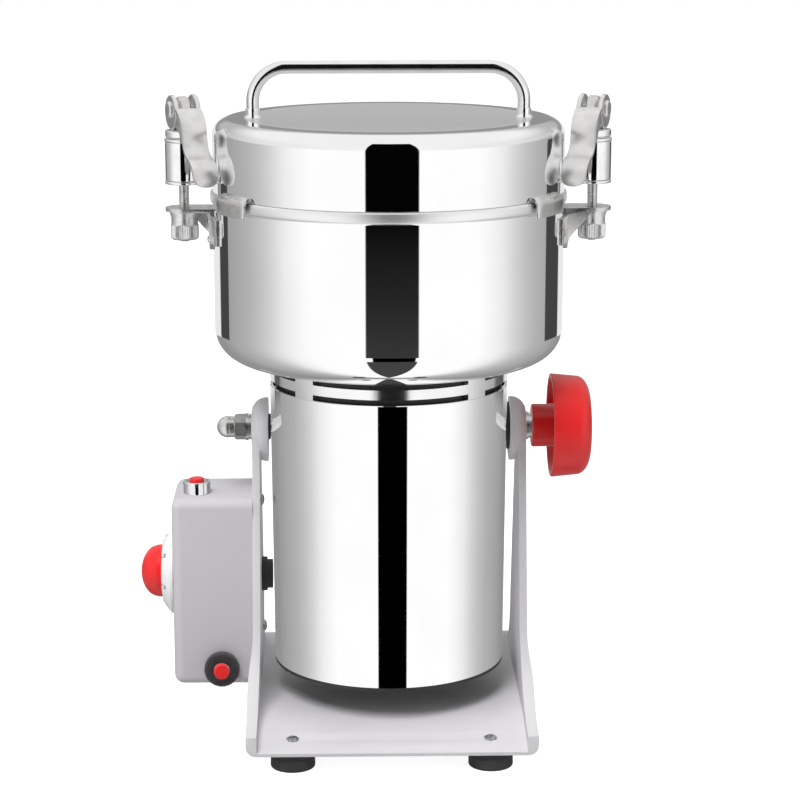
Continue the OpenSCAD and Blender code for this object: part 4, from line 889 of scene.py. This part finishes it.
# the strap's three bends: radius, and the angle down from level at its start and end
bends = [(15.2 * mm, 16, 88), (12 * mm, 88, 15), (13 * mm, 15, 95)]
bend_steps = 14
path = [(strap_u, strap_z)]
for radius, first, last in bends:
    (u, z), way = path[-1], 1 if last > first else -1
    for step in range(1, bend_steps + 1):
        angle = math.radians(first + (last - first) * step / bend_steps)
        path.append((u + way * radius * (math.sin(angle) - math.sin(math.radians(first))),
                     z - way * radius * (math.cos(math.radians(first)) - math.cos(angle))))
length = [0]
for (u0, z0), (u1, z1) in zip(path, path[1:]):
    length.append(length[-1] + math.hypot(u1 - u0, z1 - z0))


def strap_width(along):
    """Half width at a distance along the strap: full, with the lip's round corners."""
    left = length[-1] - along
    full = strap_w / 2 * (1 - 0.03 * math.sin(math.pi * min(along / length[-1], 1)))
    if left >= lip:
        return full
    return full - lip + math.sqrt(max(lip ** 2 - (lip - left) ** 2, 0)) + 0.02 * mm


fine_path, fine_length = [], []
for index, point in enumerate(path):
    if index and length[-1] - length[index - 1] < lip + 1.5 * mm:
        for share in (0.34, 0.67):
            fine_path.append(tuple(a + (b - a) * share for a, b in zip(path[index - 1], point)))
            fine_length.append(length[index - 1] + (length[index] - length[index - 1]) * share)
    fine_path.append(point)
    fine_length.append(length[index])
deselect()
bpy.ops.mesh.primitive_plane_add(size=1, location=(0, 0, 0))
strap = bpy.context.object
bpy.ops.object.mode_set(mode="EDIT")
bpy.ops.transform.resize(value=(0, 1, 1))
bpy.ops.mesh.remove_doubles(threshold=1e-6)
width = strap_width(0) * 2
bpy.ops.transform.resize(value=(1, width, 1))
bpy.ops.transform.translate(value=(fine_path[0][0], 0, fine_path[0][1]))
for (u0, z0), (u1, z1), along in zip(fine_path, fine_path[1:], fine_length[1:]):
    new_width = strap_width(along) * 2
    bpy.ops.mesh.extrude_region()
    bpy.ops.transform.translate(value=(u1 - u0, 0, z1 - z0))
    bpy.ops.transform.resize(value=(1, new_width / width, 1), center_override=(0, 0, 0))
    width = new_width
bpy.ops.object.mode_set(mode="OBJECT")
add_modifier(strap, "SOLIDIFY", thickness=strap_t, offset=0)
eased(strap, 0.45 * mm, 3, limit=50)
cam_u, cam_z, ear_r, ear_t, ear_edge = 0.8 * mm, pin_z - 1.3 * mm, 9.4 * mm, 2.4 * mm, 0.5 * mm
web_steps, web_reach, web_depth, web_end = 12, 17, 11.5 * mm, 0.6 * mm
ears = []
for side in (-1, 1):
    middle = side * (strap_w / 2 - ear_t / 2)
    ear = placed(disc(ear_r, ear_t, ear_edge, 0, 72), (cam_u, middle, cam_z), (90, 0, 0))
    tops, bottoms = [], []
    for step in range(web_steps + 1):
        share = step / web_steps
        index = int(share * web_reach)
        (top_u, top_z), (next_u, next_z) = path[index], path[index + 1]
        depth = web_depth * (1 - share) ** 0.8 + web_end
        heading = math.atan2(next_z - top_z, next_u - top_u)
        tops.append((top_u, middle, top_z))
        bottoms.append((top_u + depth * math.sin(heading), middle, top_z - depth * math.cos(heading)))
    edge_points = tops + bottoms[::-1]
    deselect()
    bpy.ops.mesh.primitive_circle_add(vertices=len(edge_points), radius=mm, fill_type="NGON",
                                      location=(0, 0, 0))
    web = bpy.context.object
    for vertex, point in zip(web.data.vertices, edge_points):
        vertex.co = point
    add_modifier(web, "SOLIDIFY", thickness=ear_t * 0.9, offset=0)
    eased(web, 0.4 * mm, 2, limit=50)
    ears += [ear, web]
both_sides(joined(strap, *ears), "cam_lever", nickel, "nickel", "lever", "lever")
give(nickel, "left_pin", "right_pin")

# Knurled aluminium nuts under the brackets set how hard the clamps pull. Each has a flared
# collar on top and straight knurling below.
aluminium = clouded("aluminium_nut", scale=320, detail=4, dark=(224, 224, 225), light=(238, 238, 238),
                    rough=0.26, spread=0.12, relief=(0.06, 0.0001, 0), metallic=1.0)
nut_low, nut_top = [corner.z for corner in clamp_box("nut")]
nut_r, nut_hole_r, nut_teeth = 7.7 * mm, 3.06 * mm, 36
flare_r = nut_r * 1.07
nut = turned([(nut_hole_r, nut_low), (nut_r - 1 * mm, nut_low), (nut_r - 0.1 * mm, nut_low + 0.8 * mm),
              (nut_r, nut_low + 1.4 * mm), (nut_r, nut_low + 7.8 * mm),
              (nut_r - 0.35 * mm, nut_low + 8.6 * mm), (nut_r - 0.4 * mm, nut_low + 9.5 * mm),
              (nut_r - 0.3 * mm, nut_low + 12 * mm), (nut_r + 0.1 * mm, nut_low + 13.6 * mm),
              (flare_r, nut_top - 0.9 * mm), (flare_r, nut_top - 0.3 * mm), (flare_r - 0.3 * mm, nut_top),
              (nut_hole_r, nut_top)], segments=nut_teeth * 4)
knurl(nut, nut_teeth, nut_r, 0.4 * mm, nut_low + 1.2 * mm, nut_low + 8.2 * mm)
both_sides(nut, "knurled_nut", aluminium, "aluminium_nut", "nut", "nut", angle=25)

# The red hand knob is a moulded cup on a hub. Its wall tapers a little towards the face, and a
# brass insert in the hub runs on the stud and locks the tilt.
knob_low, knob_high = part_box("hand_knob")
knob_r = (knob_high.z - knob_low.z) / 2
knob_z = (knob_high.z + knob_low.z) / 2
hub_r, mouth, face = 12.1 * mm, 10.7 * mm, knob_high.x - knob_low.x
cup_in, bore_r, bore_depth = face - 3.2 * mm, 6.45 * mm, 18 * mm
knob = turned([(0, bore_depth), (bore_r, bore_depth), (bore_r, 0.4 * mm), (bore_r + 0.45 * mm, 0)]
              + arc(hub_r - 1 * mm, 1 * mm, 1 * mm, -90, 0, 5)
              + [(hub_r - 0.25 * mm, cup_in - 3 * mm)]
              + arc(hub_r + 2.75 * mm, cup_in - 3 * mm, 3 * mm, 180, 90, 5)
              + arc(knob_r - 9.9 * mm, cup_in - 6.5 * mm, 6.3 * mm, 90, 0, 8)
              + [(knob_r - 2.7 * mm, mouth + 0.5 * mm), (knob_r - 2.2 * mm, mouth + 0.05 * mm),
                 (knob_r - 0.5 * mm, mouth), (knob_r, mouth + 0.5 * mm)]
              + arc(knob_r - 12.5 * mm, face - 8.2 * mm, 11.2 * mm, 0, 84, 14, high=7.9 * mm)
              + [(0, face)], segments=144, closed=False)
finished(placed(knob, (knob_low.x, 0, knob_z), (0, 90, 0)), "hand_knob_cup", red_plastic, "hand_knob",
         "red_plastic", "hand_knob")

# Working parts inside: ground steel shaft, bearings and blades, stacked laminations, copper
# windings, brass brushes and the lid's silicone seal. The blades show when the lid is off.
plain_steel = clouded("machined_steel", scale=300, detail=4, dark=(170, 170, 172), light=(200, 200, 202),
                      rough=0.22, spread=0.14, relief=(0.05, 0.0001, 0), metallic=1.0)
give(plain_steel, "bearings", "shaft", "lower_blade", "upper_blade", "blade_nut", "bearing_plate",
     "shaft_seal")
lamination, start, shader = new_material("lamination", metallic=1.0)
where = place_of(start)
sheets = start.node("TexWave", {"Vector": where, "Scale": 320.0}, bands_direction="Z")
feed(shader, base_color=sheets.blend(colour(86, 86, 92), colour(122, 122, 126)),
     roughness=0.45 + 0.1 * sheets, normal=bump(start, sheets, 0.3, 0.0002))
give(lamination, "stator", "rotor_core")
copper, start, shader = new_material("copper", metallic=1.0)
where = place_of(start)
wires = start.node("TexWave", {"Vector": where, "Scale": 260.0}, bands_direction="Z")
feed(shader, base_color=wires.blend(colour(150, 78, 44), colour(206, 128, 84)),
     roughness=0.3 + 0.15 * wires, normal=bump(start, wires, 0.4, 0.0003))
give(copper, "field_coils", "commutator")
brass = clouded("brass", scale=300, detail=4, dark=(176, 140, 76), light=(204, 170, 104), rough=0.25,
                spread=0.15, metallic=1.0)
give(brass, "brushes", "knob_insert")
silicone = clouded("silicone", scale=200, detail=3, dark=(206, 206, 202), light=(222, 222, 218),
                   rough=0.45, spread=0.1)
give(silicone, "lid_seal")

# What stands beside the polished steel was kept out of its reflections when the mill was
# shown, and so were the floor and the small parts behind the uprights.
for name in ("stand_casting", "control_box_shell", "hand_knob_cup", "timer_dome", "timer_dial",
             "timer_minutes", "timer_pointer", "reset_nut", "reset_plunger", "start_collar",
             "start_plunger", "floor"):
    bpy.data.objects[name].visible_glossy = False
for name in ("cable_grommet", "pivot_spacers", "timer_body", "start_switch", "breaker_body", "cord_gland",
             "knob_insert", "pivot_washers", "acorn_nut", "box_screws"):
    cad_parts[name].visible_glossy = False
